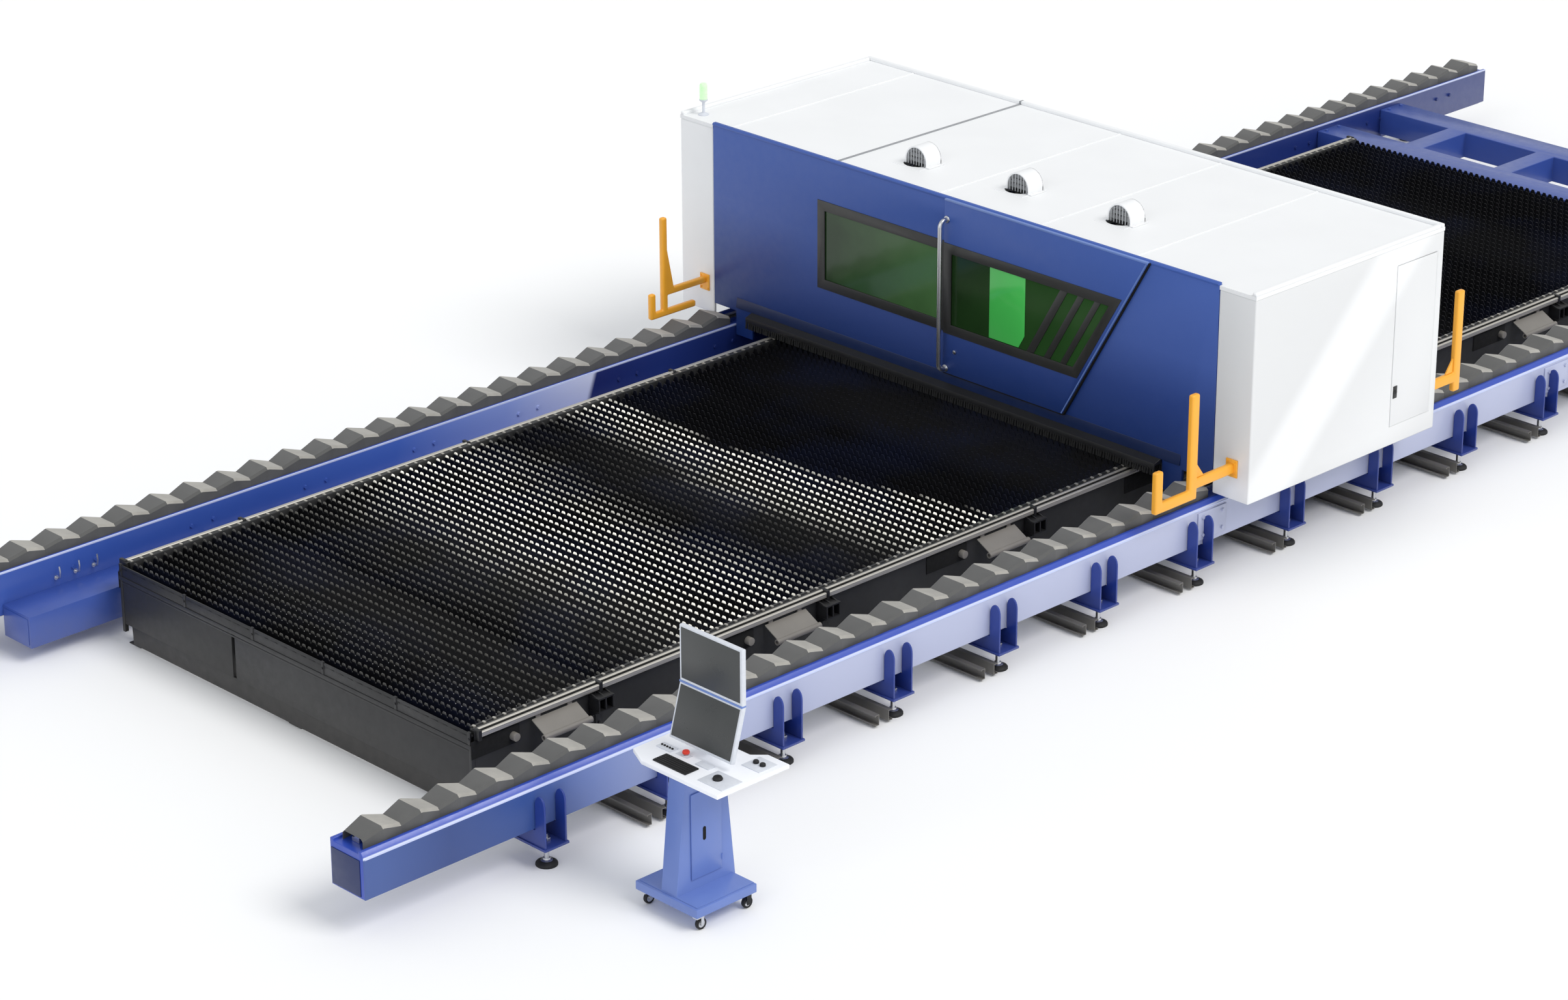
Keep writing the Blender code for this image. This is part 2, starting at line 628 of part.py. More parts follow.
def make_table_frame():
    """Side plates, a cross wall at each seam, and legs with pads under the seams."""
    inner = TABLE_HALF_WIDTH - SIDE_PLATE
    wall_top = TABLE_TOP - SLAT_HEIGHT - COMB_DROP - TOUCH
    side_top = TABLE_TOP - SIDE_PLATE_DROP
    leg_x = inner - LEG_SIDE / 2

    def first_side(shape):
        box(shape, (inner, TABLE_FRONT, TABLE_SKIRT_BOTTOM), (TABLE_HALF_WIDTH, TABLE_REAR, side_top))

    def rest(shape):
        box(
            shape,
            (-TABLE_HALF_WIDTH, TABLE_FRONT, TABLE_SKIRT_BOTTOM),
            (-inner, TABLE_REAR, side_top),
        )
        for y in leg_rows():
            box(
                shape,
                (-inner - SIDE_PLATE / 2, y - CROSS_WALL / 2, TABLE_SKIRT_BOTTOM),
                (inner + SIDE_PLATE / 2, y + CROSS_WALL / 2, wall_top),
            )
            for x in (-leg_x, 0.0, leg_x):
                half, pad = LEG_SIDE / 2, LEG_PAD_SIDE / 2
                box(
                    shape,
                    (x - half, y - half, LEG_PAD_THICKNESS / 2),
                    (x + half, y + half, TABLE_SKIRT_BOTTOM + LEG_LAP),
                )
                box(shape, (x - pad, y - pad, 0.0), (x + pad, y + pad, LEG_PAD_THICKNESS))

    def ports(shape):
        for y in bay_middles():
            box(
                shape,
                (-TABLE_HALF_WIDTH - SIDE_PLATE / 2, y - DUCT_PORT[0] / 2, port_low()),
                (-inner + SIDE_PLATE / 2, y + DUCT_PORT[0] / 2, port_low() + DUCT_PORT[1]),
            )

    part("table_frame", first_side, DARK_GREY, join=rest, cut=ports)


def leg_rows():
    """A cross wall on legs at each end of the table and under each seam between."""
    return [TABLE_FRONT + LEG_PAD_SIDE / 2, *SEAMS[:-1], TABLE_REAR - LEG_PAD_SIDE / 2]


def bay_middles():
    return [(a + b) / 2 for a, b in zip(SEAMS, SEAMS[1:])]


def port_low():
    return TABLE_SKIRT_BOTTOM + DUCT_PORT_LIFT


def make_slat_grid():
    """The cutting slats, standing across the table with their ends locked into two comb bars."""
    outer = TABLE_HALF_WIDTH - SIDE_PLATE - COMB_SIDE_GAP
    reach = outer - COMB_BAR / 2
    first = TABLE_FRONT + CROSS_WALL * 2
    count = int((TABLE_REAR - CROSS_WALL * 2 - first) / SLAT_PITCH) + 1
    low = TABLE_TOP - SLAT_HEIGHT

    def bar(shape, side):
        left, right = span(side, outer - COMB_BAR, outer)
        box(
            shape,
            (left, TABLE_FRONT + CROSS_WALL, low - COMB_DROP),
            (right, TABLE_REAR - CROSS_WALL, TABLE_TOP + COMB_PROUD),
        )

    def slats(shape):
        bar(shape, -1)
        for i in range(count):
            y = first + SLAT_PITCH * i
            box(shape, (-reach, y - SLAT_THICKNESS / 2, low), (reach, y + SLAT_THICKNESS / 2, TABLE_TOP))

    part("slat_grid", lambda shape: bar(shape, 1), SLAT_STEEL, join=slats)


def make_nose_panel():
    face = TABLE_FRONT - TOUCH
    front = face - NOSE_PANEL_DEPTH
    proud, height, slope = NOSE_LIP
    rim = [
        (face, NOSE_PANEL_BOTTOM),
        (face, NOSE_PANEL_TOP),
        (front - proud, NOSE_PANEL_TOP),
        (front - proud, NOSE_PANEL_TOP - height),
        (front, NOSE_PANEL_TOP - height - slope),
        (front, NOSE_PANEL_FLARE),
        (face - NOSE_PANEL_FOOT, NOSE_PANEL_BOTTOM),
    ]
    part(
        "table_nose_panel",
        lambda shape: slab(shape, "X", -TABLE_HALF_WIDTH, TABLE_HALF_WIDTH, rim),
        DARK_GREY,
    )


# ---------------------------------------------------------------- slag drawers, duct and rear frame


def table_feet():
    """The feet that a pair of floor channels stands in front of."""
    low = TABLE_FRONT + CHANNEL_SETBACK + CHANNEL_PAIR_SPACING
    return [y for y in FEET if low < y < TABLE_REAR - CHANNEL_REAR_GAP]


def channel_middle(foot):
    """A channel pair runs just in front of its foot, and steps further forward where a leg stands."""
    middle = foot - CHANNEL_SETBACK
    reach = (CHANNEL_PAIR_SPACING + CHANNEL_WIDTH + LEG_PAD_SIDE) / 2 + CHANNEL_CLEAR_OF_LEG
    for leg in leg_rows():
        if abs(middle - leg) < reach:
            return leg - reach
    return middle


def make_channels():
    """A pair of floor channels in front of each foot, tied together along the floor."""
    ties = [place * TABLE_HALF_WIDTH for place in TIE_PLACES]
    feet = table_feet()
    drawers = drawer_spans()
    start = min(channel_middle(feet[0]) - CHANNEL_PAIR_SPACING, drawers[0][0])
    end = max(feet[-1], drawers[-1][1])

    def tie(shape, x):
        box(shape, (x - TIE_WIDTH / 2, start, 0.0), (x + TIE_WIDTH / 2, end, TIE_THICKNESS))

    def rest(shape):
        for x in ties[1:]:
            tie(shape, x)
        for foot in feet:
            for shift in (-CHANNEL_PAIR_SPACING / 2, CHANNEL_PAIR_SPACING / 2):
                y = channel_middle(foot) + shift
                box(
                    shape,
                    (-TABLE_HALF_WIDTH, y - CHANNEL_WIDTH / 2, TIE_THICKNESS / 2),
                    (BEAM_OUTER + CHANNEL_REACH, y + CHANNEL_WIDTH / 2, TIE_THICKNESS + CHANNEL_HEIGHT),
                )

    part("drawer_channels", lambda shape: tie(shape, ties[0]), BLACK, join=rest)


def drawer_spans():
    """For each bay, the free stretch between a foot and the next channel pair that is nearest its middle."""
    reach = (CHANNEL_PAIR_SPACING + CHANNEL_WIDTH) / 2 + DRAWER_CLEAR_OF_CHANNEL
    gaps = [(a + DRAWER_CLEAR_OF_FOOT, channel_middle(b) - reach) for a, b in zip(FEET, FEET[1:])]
    return [min(gaps, key=lambda gap: abs(sum(gap) / 2 - middle)) for middle in bay_middles()]


def make_drawer(name, low_y, high_y):
    """An open-topped slag tray."""
    left = -TABLE_HALF_WIDTH + DRAWER_END_GAPS[0]
    right = TABLE_HALF_WIDTH - DRAWER_END_GAPS[1]
    bottom = TIE_THICKNESS + TOUCH * 2
    frame = empty(f"{name}_slide", (right, (low_y + high_y) / 2, bottom))

    def tray(shape):
        box(shape, (left, low_y, bottom), (right, high_y, DRAWER_TOP))
        lid = max(shape.faces, key=lambda face: face.calc_center_median().z)
        bmesh.ops.delete(shape, geom=[lid], context="FACES_ONLY")

    made = part(name, tray, BLACK, place=frame["place"], parent=frame)
    wall = made.modifiers.new("wall", "SOLIDIFY")
    wall.thickness = DRAWER_WALL
    wall.offset = -1.0


def make_duct():
    """The extraction duct on the floor side of the left beam, with a port into each bay. Its front end is
    blanked and its rear end is open for the extractor's hose."""
    left = -BEAM_INNER + TOUCH
    right = left + DUCT_WIDTH
    top = DUCT_BOTTOM + DUCT_HEIGHT
    front, rear = TABLE_FRONT - DUCT_OVERRUN_FRONT, TABLE_REAR
    side = -TABLE_HALF_WIDTH - TOUCH

    def stubs(shape):
        for y in bay_middles():
            box(
                shape,
                (right - DUCT_WALL / 2, y - DUCT_PORT[0] / 2 - DUCT_COLLAR, port_low() - DUCT_COLLAR),
                (side, y + DUCT_PORT[0] / 2 + DUCT_COLLAR, port_low() + DUCT_PORT[1] + DUCT_COLLAR),
            )

    def inside(shape):
        box(
            shape,
            (left + DUCT_WALL, front + DUCT_WALL, DUCT_BOTTOM + DUCT_WALL),
            (right - DUCT_WALL, rear + DUCT_WALL, top - DUCT_WALL),
        )
        for y in bay_middles():
            box(
                shape,
                (right - DUCT_WALL * 2, y - DUCT_PORT[0] / 2, port_low()),
                (side + DUCT_WALL, y + DUCT_PORT[0] / 2, port_low() + DUCT_PORT[1]),
            )

    part(
        "exhaust_duct",
        lambda shape: box(shape, (left, front, DUCT_BOTTOM), (right, rear, top)),
        BLUE,
        join=stubs,
        cut=inside,
    )


def make_rear_frame():
    half = BEAM_INNER - TOUCH
    front = TABLE_REAR + REAR_FRAME_GAP
    rear = front + REAR_FRAME_DEPTH
    cells = REAR_FRAME_STILES + 1
    cell = (2 * half - REAR_FRAME_STILES * REAR_FRAME_STILE_WIDTH) / cells
    holes = []
    for i in range(1, cells - 1):
        left = -half + i * (cell + REAR_FRAME_STILE_WIDTH)
        holes.append(rectangle(left, left + cell, front + REAR_FRAME_RAIL, rear - REAR_FRAME_RAIL))
    notch = cell
    rim = [
        (-half, front),
        (half, front),
        (half, front + REAR_FRAME_RAIL),
        (half - notch, front + REAR_FRAME_RAIL),
        (half - notch, rear - REAR_FRAME_RAIL),
        (half, rear - REAR_FRAME_RAIL),
        (half, rear),
        (-half, rear),
        (-half, rear - REAR_FRAME_RAIL),
        (-half + notch, rear - REAR_FRAME_RAIL),
        (-half + notch, front + REAR_FRAME_RAIL),
        (-half, front + REAR_FRAME_RAIL),
    ]
    part(
        "rear_frame",
        lambda shape: slab(shape, "Z", REAR_FRAME_TOP - REAR_FRAME_HEIGHT, REAR_FRAME_TOP, rim, *holes),
        BLUE,
    )


# ---------------------------------------------------------------- gantry structure


def make_truck(side, name, gantry):
    """The end truck that carries the crossbeam on two runner blocks."""
    left, right = span(side, RAIL_X - TRUCK_WIDTH / 2, RAIL_X + TRUCK_WIDTH / 2)
    low_y, high_y = GANTRY_Y - TRUCK_LENGTH / 2, GANTRY_Y + TRUCK_LENGTH / 2

    def runners(shape):
        near, far = span(side, RAIL_X - RUNNER_WIDTH / 2, RAIL_X + RUNNER_WIDTH / 2)
        for start in (low_y + RUNNER_END_GAP, high_y - RUNNER_END_GAP - RUNNER_LENGTH):
            box(
                shape,
                (near, start, RAIL_TOP + TOUCH),
                (far, start + RUNNER_LENGTH, TRUCK_BOTTOM + RUNNER_LAP),
            )

    part(
        name,
        lambda shape: box(shape, (left, low_y, TRUCK_BOTTOM), (right, high_y, TRUCK_TOP)),
        DARK_GREY,
        parent=gantry,
        join=runners,
    )


def make_pinion(side, name, gantry):
    """The pinion that runs on the rack, on the stub of its gearbox shaft."""
    x = side * (RAIL_X - RAIL_WIDTH / 2 - RACK_WIDTH - PINION_GAP - PINION_RADIUS)
    low = SEAT + PINION_LIFT
    axle = empty(f"{name}_axle", (x, GANTRY_Y, low), gantry)
    part(
        name,
        lambda shape: cone(shape, (x, GANTRY_Y, low), (x, GANTRY_Y, low + RACK_HEIGHT), PINION_RADIUS),
        BRIGHT_STEEL,
        place=axle["place"],
        parent=axle,
        join=lambda shape: cone(
            shape,
            (x, GANTRY_Y, low + RACK_HEIGHT / 2),
            (x, GANTRY_Y, TRUCK_BOTTOM - TOUCH),
            PINION_SHAFT_RADIUS,
            segments=8,
        ),
    )


def make_crossbeam(gantry):
    """A box beam across the gantry with two X guide rails on its front face."""
    front, rear = CROSSBEAM_FRONT, CROSSBEAM_FRONT + CROSSBEAM_DEPTH
    low, high = CROSSBEAM_BOTTOM, CROSSBEAM_BOTTOM + CROSSBEAM_HEIGHT
    half = RAIL_X + TRUCK_WIDTH / 2
    rim = [(front, low)]
    for z in (low + X_RAIL_INSET, high - X_RAIL_INSET - X_RAIL[0]):
        rim += [
            (front, z),
            (front - X_RAIL[1], z),
            (front - X_RAIL[1], z + X_RAIL[0]),
            (front, z + X_RAIL[0]),
        ]
    rim += [(front, high), (rear, high), (rear, low)]
    wall = CROSSBEAM_WALL
    bore = rectangle(front + wall, rear - wall, low + wall, high - wall)
    part("crossbeam", lambda shape: slab(shape, "X", -half, half, rim, bore), DARK_GREY, parent=gantry)


def make_carriage(gantry):
    """The X carriage on the crossbeam, and the cutting head that its Z slide carries."""
    face = CROSSBEAM_FRONT - X_RAIL[1] - TOUCH
    back = face - CARRIAGE_DEPTH
    low = CROSSBEAM_BOTTOM - CARRIAGE_PAST[0]
    high = CROSSBEAM_BOTTOM + CROSSBEAM_HEIGHT + CARRIAGE_PAST[1]
    travel = empty("x_travel", (0.0, face, (low + high) / 2), gantry)
    part(
        "x_carriage",
        lambda shape: box(shape, (-CARRIAGE_HALF_WIDTH, back, low), (CARRIAGE_HALF_WIDTH, face, high)),
        WHITE,
        place=travel["place"],
        parent=travel,
    )
    plate = back - TOUCH
    middle = plate - HEAD_STANDOFF - HEAD_RADIUS
    head_low = NOZZLE_TIP + NOZZLE_LENGTH
    lift = empty("head_lift", (0.0, middle, NOZZLE_TIP), travel)
    width, thickness = HEAD_PLATE

    def head(shape):
        lap = RUNNER_LAP
        cone(shape, (0, middle, head_low - lap), (0, middle, high - HEAD_TOP_GAP), HEAD_RADIUS)
        cone(shape, (0, middle, NOZZLE_TIP), (0, middle, head_low), NOZZLE_RADIUS, NOZZLE_SPREAD)

    part(
        "cutting_head",
        lambda shape: box(
            shape,
            (-width / 2, plate - thickness, low + HEAD_PLATE_GAPS[0]),
            (width / 2, plate, high - HEAD_PLATE_GAPS[1]),
        ),
        BRIGHT_STEEL,
        place=lift["place"],
        parent=lift,
        join=head,
    )


# ---------------------------------------------------------------- gantry covers


def make_end_cover(side, name, column, gantry, cut=None):
    """An end cover, open towards the middle: outer wall and a column at the front and at the rear."""
    outer, inner = GANTRY_HALF, GANTRY_HALF - column
    rim = [
        (inner, GANTRY_FRONT),
        (outer, GANTRY_FRONT),
        (outer, GANTRY_REAR),
        (inner, GANTRY_REAR),
        (inner, GANTRY_REAR - COVER_WALL),
        (outer - COVER_WALL, GANTRY_REAR - COVER_WALL),
        (outer - COVER_WALL, GANTRY_FRONT + COVER_WALL),
        (inner, GANTRY_FRONT + COVER_WALL),
    ]
    part(
        name,
        lambda shape: slab(shape, "Z", COVER_BOTTOM, ROOF_BOTTOM - TOUCH, mirrored(rim, side)),
        WHITE,
        parent=gantry,
        cut=cut,
    )


def make_service_door(gantry):
    """A door at the rear of the right end cover, hinged on its rear edge."""
    rear = GANTRY_REAR - SERVICE_DOOR_REAR_MARGIN
    front = rear - SERVICE_DOOR_WIDTH
    low = COVER_BOTTOM + SERVICE_DOOR_LIFT
    high = ROOF_TOP - SERVICE_DOOR_TOP_GAP

    def hole(shape):
        box(shape, (GANTRY_HALF - COVER_WALL * 2, front, low), (GANTRY_HALF + COVER_WALL, rear, high))

    hinge = empty("service_hinge", (GANTRY_HALF + SERVICE_HINGE_PROUD, rear - FIT_GAP / 2, low), gantry)
    part(
        "service_door",
        lambda shape: box(
            shape,
            (GANTRY_HALF - COVER_WALL, front + FIT_GAP, low + FIT_GAP),
            (GANTRY_HALF, rear - FIT_GAP, high - FIT_GAP),
        ),
        WHITE,
        place=hinge["place"],
        parent=hinge,
    )
    return hole


def make_front_panel(gantry):
    """The blue front sheet: it steps down at each end between the table and the beam, over the bellows it
    stays clear, and it has the window's hole and the hatch behind the sliding door."""
    leg_out = BEAM_INNER - PANEL_LEG_CLEAR
    leg_in = leg_out - PANEL_LEG_WIDTH
    leg_low = BEAM_TOP - PANEL_LEG_DROP
    over = BELLOWS_TOP + PANEL_OVER_BELLOWS
    top = ROOF_TOP + PANEL_LIP
    rim = [
        (PANEL_LEFT, over),
        (-leg_out, over),
        (-leg_out, leg_low),
        (-leg_in, leg_low),
        (-leg_in, PANEL_EDGE),
        (leg_in, PANEL_EDGE),
        (leg_in, leg_low),
        (leg_out, leg_low),
        (leg_out, over),
        (PANEL_RIGHT, over),
        (PANEL_RIGHT, top),
        (PANEL_LEFT, top),
    ]
    left, right, low, high = fixed_pane()
    part(
        "front_panel",
        lambda shape: slab(
            shape,
            "Y",
            GANTRY_FRONT,
            GANTRY_FRONT + COVER_WALL,
            rim,
            rectangle(left, right, low, high),
            rectangle(*HATCH),
        ),
        BLUE,
        parent=gantry,
    )
    part(
        "fixed_window",
        lambda shape: box(
            shape,
            (left + FIT_GAP, GANTRY_FRONT + PANE_SETBACK, low + FIT_GAP),
            (right - FIT_GAP, GANTRY_FRONT + PANE_SETBACK + PANE_THICKNESS, high - FIT_GAP),
        ),
        GLASS,
        parent=gantry,
    )


def fixed_pane():
    """The fixed window's hole: left, right, bottom, top."""
    return (
        WINDOW_LEFT + WINDOW_FRAME,
        DOOR_EDGE - WINDOW_FRAME,
        WINDOW_BOTTOM + WINDOW_FRAME,
        WINDOW_TOP - WINDOW_FRAME,
    )


def make_sliding_door(gantry):
    """The inspection door with its slanted right edge, which slides right over the front sheet."""
    face = GANTRY_FRONT - DOOR_GAP
    slide = empty("door_slide", (DOOR_EDGE, face, DOOR_BOTTOM), gantry)
    slant = DOOR_SLANT * (DOOR_TOP - DOOR_BOTTOM)
    rim = [
        (DOOR_EDGE, DOOR_BOTTOM),
        (DOOR_FOOT_RIGHT, DOOR_BOTTOM),
        (DOOR_FOOT_RIGHT + slant, DOOR_TOP),
        (DOOR_EDGE, DOOR_TOP),
    ]

    def pane_rim(gap):
        low, high = WINDOW_BOTTOM + WINDOW_FRAME + gap, WINDOW_TOP - WINDOW_FRAME - gap
        left = DOOR_EDGE + WINDOW_FRAME + gap
        at_low = PANE_FOOT_RIGHT - 2 * gap + DOOR_SLANT * (low - WINDOW_BOTTOM)
        at_high = PANE_FOOT_RIGHT - 2 * gap + DOOR_SLANT * (high - WINDOW_BOTTOM)
        return [(left, low), (at_low, low), (at_high, high), (left, high)]

    part(
        "sliding_door",
        lambda shape: slab(shape, "Y", face - DOOR_THICKNESS, face, rim, pane_rim(0.0)),
        BLUE,
        place=slide["place"],
        parent=slide,
    )
    middle = face - DOOR_THICKNESS / 2
    part(
        "door_window",
        lambda shape: slab(
            shape, "Y", middle - PANE_THICKNESS / 2, middle + PANE_THICKNESS / 2, pane_rim(FIT_GAP)
        ),
        GLASS,
        place=slide["place"],
        parent=slide,
    )
    make_handle(face - DOOR_THICKNESS - TOUCH, slide)


def make_handle(face, slide):
    """A long bar handle, bent back to the door at both ends."""
    curve = bpy.data.curves.new("door_handle", "CURVE")
    curve.dimensions = "3D"
    curve.bevel_depth = HANDLE_RADIUS
    curve.bevel_resolution = 2
    curve.use_fill_caps = True
    spline = curve.splines.new("POLY")
    out = face - HANDLE_STANDOFF
    low, high = HANDLE_SPAN
    bend = HANDLE_RADIUS * 1.5
    route = [
        (face, low),
        (out + bend, low),
        (out, low + bend),
        (out, high - bend),
        (out + bend, high),
        (face, high),
    ]
    spline.points.add(len(route) - 1)
    for point, (y, z) in zip(spline.points, route):
        point.co = (HANDLE_X, y, z, 1.0)
    holder = bpy.data.objects.new("door_handle_path", curve)
    bpy.context.scene.collection.objects.link(holder)
    mesh = bpy.data.meshes.new_from_object(holder.evaluated_get(bpy.context.evaluated_depsgraph_get()))
    bpy.data.objects.remove(holder, do_unlink=True)

    def bar(shape):
        shape.from_mesh(mesh)
        bmesh.ops.remove_doubles(shape, verts=shape.verts, dist=1e-5)

    smooth(part("door_handle", bar, BRIGHT_STEEL, place=slide["place"], parent=slide))


def make_rear_panel(gantry):
    part(
        "rear_panel",
        lambda shape: box(
            shape,
            (PANEL_LEFT, GANTRY_REAR - COVER_WALL, PANEL_EDGE),
            (PANEL_RIGHT, GANTRY_REAR, ROOF_BOTTOM - TOUCH),
        ),
        WHITE,
        parent=gantry,
    )


def make_skirts(gantry):
    """Brush skirts that close the gap between the covers and the slats."""
    half = BEAM_INNER - PANEL_LEG_CLEAR - PANEL_LEG_WIDTH - FIT_GAP
    for name, y in (
        ("front_skirt", GANTRY_FRONT + COVER_WALL / 2),
        ("rear_skirt", GANTRY_REAR - COVER_WALL / 2),
    ):
        part(
            name,
            lambda shape, y=y: box(
                shape,
                (-half, y - SKIRT_THICKNESS / 2, TABLE_TOP + SKIRT_CLEAR),
                (half, y + SKIRT_THICKNESS / 2, PANEL_EDGE - TOUCH),
            ),
            BLACK,
            parent=gantry,
        )


def make_roof(gantry):
    """The roof sheet with three fan hoods that open forwards, and the fans' impellers."""
    step = GANTRY_FRONT + COVER_WALL + FIT_GAP
    rim = [
        (-GANTRY_HALF, GANTRY_FRONT),
        (PANEL_LEFT - FIT_GAP, GANTRY_FRONT),
        (PANEL_LEFT - FIT_GAP, step),
        (PANEL_RIGHT + FIT_GAP, step),
        (PANEL_RIGHT + FIT_GAP, GANTRY_FRONT),
        (GANTRY_HALF, GANTRY_FRONT),
        (GANTRY_HALF, GANTRY_REAR),
        (-GANTRY_HALF, GANTRY_REAR),
    ]
    width, depth, height = HOOD_SIZE

    def hoods(shape):
        for x, y in FANS:
            box(
                shape,
                (x - width / 2, y - depth / 2, ROOF_BOTTOM + ROOF_THICKNESS / 2),
                (x + width / 2, y + depth / 2, ROOF_TOP + height),
            )

    def throats(shape):
        for x, y in FANS:
            box(
                shape,
                (x - width / 2 + HOOD_WALL, y - depth / 2 - HOOD_WALL, ROOF_TOP + HOOD_SILL),
                (x + width / 2 - HOOD_WALL, y + depth / 2 - HOOD_WALL, ROOF_TOP + height - HOOD_WALL),
            )
            throat = IMPELLER_RADIUS + IMPELLER_GAPS[0]
            cone(shape, (x, y, ROOF_BOTTOM - HOOD_WALL), (x, y, ROOF_TOP + HOOD_WALL), throat)

    part(
        "roof_cover",
        lambda shape: slab(shape, "Z", ROOF_BOTTOM, ROOF_TOP, rim),
        WHITE,
        parent=gantry,
        join=hoods,
        cut=throats,
    )
    for number, (x, y) in enumerate(FANS, 1):
        make_impeller(number, x, y, gantry)


def make_impeller(number, x, y, gantry):
    low = ROOF_BOTTOM + IMPELLER_GAPS[2]
    high = low + IMPELLER_HEIGHT
    axle = empty(f"fan_axle_{number}", (x, y, low), gantry)

    def blades(shape):
        for i in range(IMPELLER_BLADES):
            before = set(shape.verts)
            tip = IMPELLER_RADIUS - IMPELLER_GAPS[1]
            width, thickness = BLADE
            box(shape, (BLADE_ROOT, -width / 2, 0.0), (tip, width / 2, thickness))
            made = [vertex for vertex in shape.verts if vertex not in before]
            pitch = Matrix.Rotation(math.radians(BLADE_PITCH), 4, "X")
            turn = Matrix.Rotation(2 * math.pi * i / IMPELLER_BLADES, 4, "Z")
            lift = Matrix.Translation((0, 0, BLADE_LIFT))
            shift = Matrix.Translation((x, y, low))
            bmesh.ops.transform(shape, matrix=shift @ turn @ lift @ pitch, verts=made)

    part(
        f"fan_impeller_{number}",
        lambda shape: cone(shape, (x, y, low), (x, y, high), IMPELLER_HUB, segments=12),
        BLACK,
        place=axle["place"],
        parent=axle,
        join=blades,
    )


def make_beacon(gantry):
    """A signal lamp on a thin stem, turned from one profile."""
    x = -GANTRY_HALF + BEACON_INSET[0]
    y = GANTRY_FRONT + BEACON_INSET[1]
    low = ROOF_TOP + TOUCH
    top = low + BEACON_HEIGHT
    profile = [
        (0.0, top),
        (BEACON_RADIUS, top - 0.008),
        (BEACON_RADIUS, top - 0.13),
        (BEACON_RADIUS * 0.5, top - 0.14),
        (BEACON_RADIUS * 0.5, low + 0.02),
        (BEACON_RADIUS * 1.3, low + 0.012),
        (BEACON_RADIUS * 1.3, low),
        (0.0, low),
    ]

    def half(shape):
        chain = [shape.verts.new((x + r, y, z)) for r, z in profile]
        for a, b in zip(chain, chain[1:]):
            shape.edges.new((a, b))

    made = part("beacon", half, LAMP, place=(x, y, low), parent=gantry)
    screw = made.modifiers.new("turn", "SCREW")
    screw.steps = 12
    screw.render_steps = 12
    screw.use_merge_vertices = True
    screw.merge_threshold = 0.0001
    smooth(made)


def bumper_outline(tip):
    """The trip bar's outline, as (out from the cover, height)."""
    arm_low = BUMPER_FOOT + BUMPER_BAR
    post_far = BUMPER_POST_OUT + BUMPER_BAR
    if tip:
        tip_far = BUMPER_TIP_OUT + BUMPER_BAR
        toe = [
            (tip_far, BUMPER_FOOT),
            (tip_far, BUMPER_TIP_TOP),
            (BUMPER_TIP_OUT, BUMPER_TIP_TOP),
            (BUMPER_TIP_OUT, arm_low),
            (post_far, arm_low),
        ]
    else:
        toe = [(post_far, BUMPER_FOOT)]
    return [
        (TOUCH, arm_low),
        (BUMPER_POST_OUT, arm_low),
        (BUMPER_POST_OUT, BUMPER_FOOT),
        *toe,
        (post_far, BUMPER_POST_TOP),
        (BUMPER_POST_OUT, BUMPER_POST_TOP),
        (BUMPER_POST_OUT, arm_low + BUMPER_BAR),
        (TOUCH, arm_low + BUMPER_BAR),
    ]


def heeled_outline():
    """The left front trip bar's outline, as (out from the cover, height)."""
    foot_top = HEELED_FOOT + HEELED_BAR
    arm_top = HEELED_ARM + HEELED_BAR
    post_far = HEELED_POST_OUT + HEELED_BAR
    tip_far = HEELED_TIP_OUT + HEELED_BAR
    gusset_out, gusset_rise = HEELED_GUSSET
    return [
        (TOUCH, HEELED_ARM),
        (HEELED_POST_OUT, HEELED_ARM),
        (HEELED_POST_OUT, foot_top),
        (HEEL_OUT, foot_top),
        (HEEL_OUT, HEELED_FOOT),
        (tip_far, HEELED_FOOT),
        (tip_far, HEELED_TIP_TOP),
        (HEELED_TIP_OUT, HEELED_TIP_TOP),
        (HEELED_TIP_OUT, foot_top),
        (post_far, foot_top),
        (post_far, HEELED_POST_TOP),
        (HEELED_POST_OUT, HEELED_POST_TOP),
        (HEELED_POST_OUT, arm_top + gusset_rise),
        (HEELED_POST_OUT - gusset_out, arm_top),
        (TOUCH, arm_top),
    ]


def make_bumper(name, x, end, face, outline, gantry):
    """A trip bar in the plane of the beam. end is -1 at the front and 1 at the rear."""
    rim = [(face + end * out, z) for out, z in outline]
    part(
        name,
        lambda shape: slab(shape, "X", x - BUMPER_THICKNESS / 2, x + BUMPER_THICKNESS / 2, rim),
        YELLOW,
        parent=gantry,
    )


def make_gantry():
    gantry = empty("gantry_travel", (0.0, GANTRY_Y, RAIL_TOP))
    for side, hand in ((-1, "left"), (1, "right")):
        make_truck(side, f"{hand}_end_truck", gantry)
        make_pinion(side, f"{hand}_drive_pinion", gantry)
    make_crossbeam(gantry)
    make_carriage(gantry)
    make_end_cover(-1, "left_end_cover", COLUMN_WIDTH_LEFT, gantry)
    make_end_cover(1, "right_end_cover", COLUMN_WIDTH_RIGHT, gantry, cut=make_service_door(gantry))
    make_front_panel(gantry)
    make_sliding_door(gantry)
    make_rear_panel(gantry)
    make_skirts(gantry)
    make_roof(gantry)
    make_beacon(gantry)
    make_bumper("bumper_front_left", BUMPER_LEFT, -1, GANTRY_FRONT, heeled_outline(), gantry)
    make_bumper("bumper_front_right", BUMPER_RIGHT, -1, GANTRY_FRONT, bumper_outline(True), gantry)
    make_bumper("bumper_rear_left", BUMPER_LEFT, 1, GANTRY_REAR, bumper_outline(False), gantry)
    make_bumper("bumper_rear_right", BUMPER_RIGHT, 1, GANTRY_REAR, bumper_outline(False), gantry)


# ---------------------------------------------------------------- console


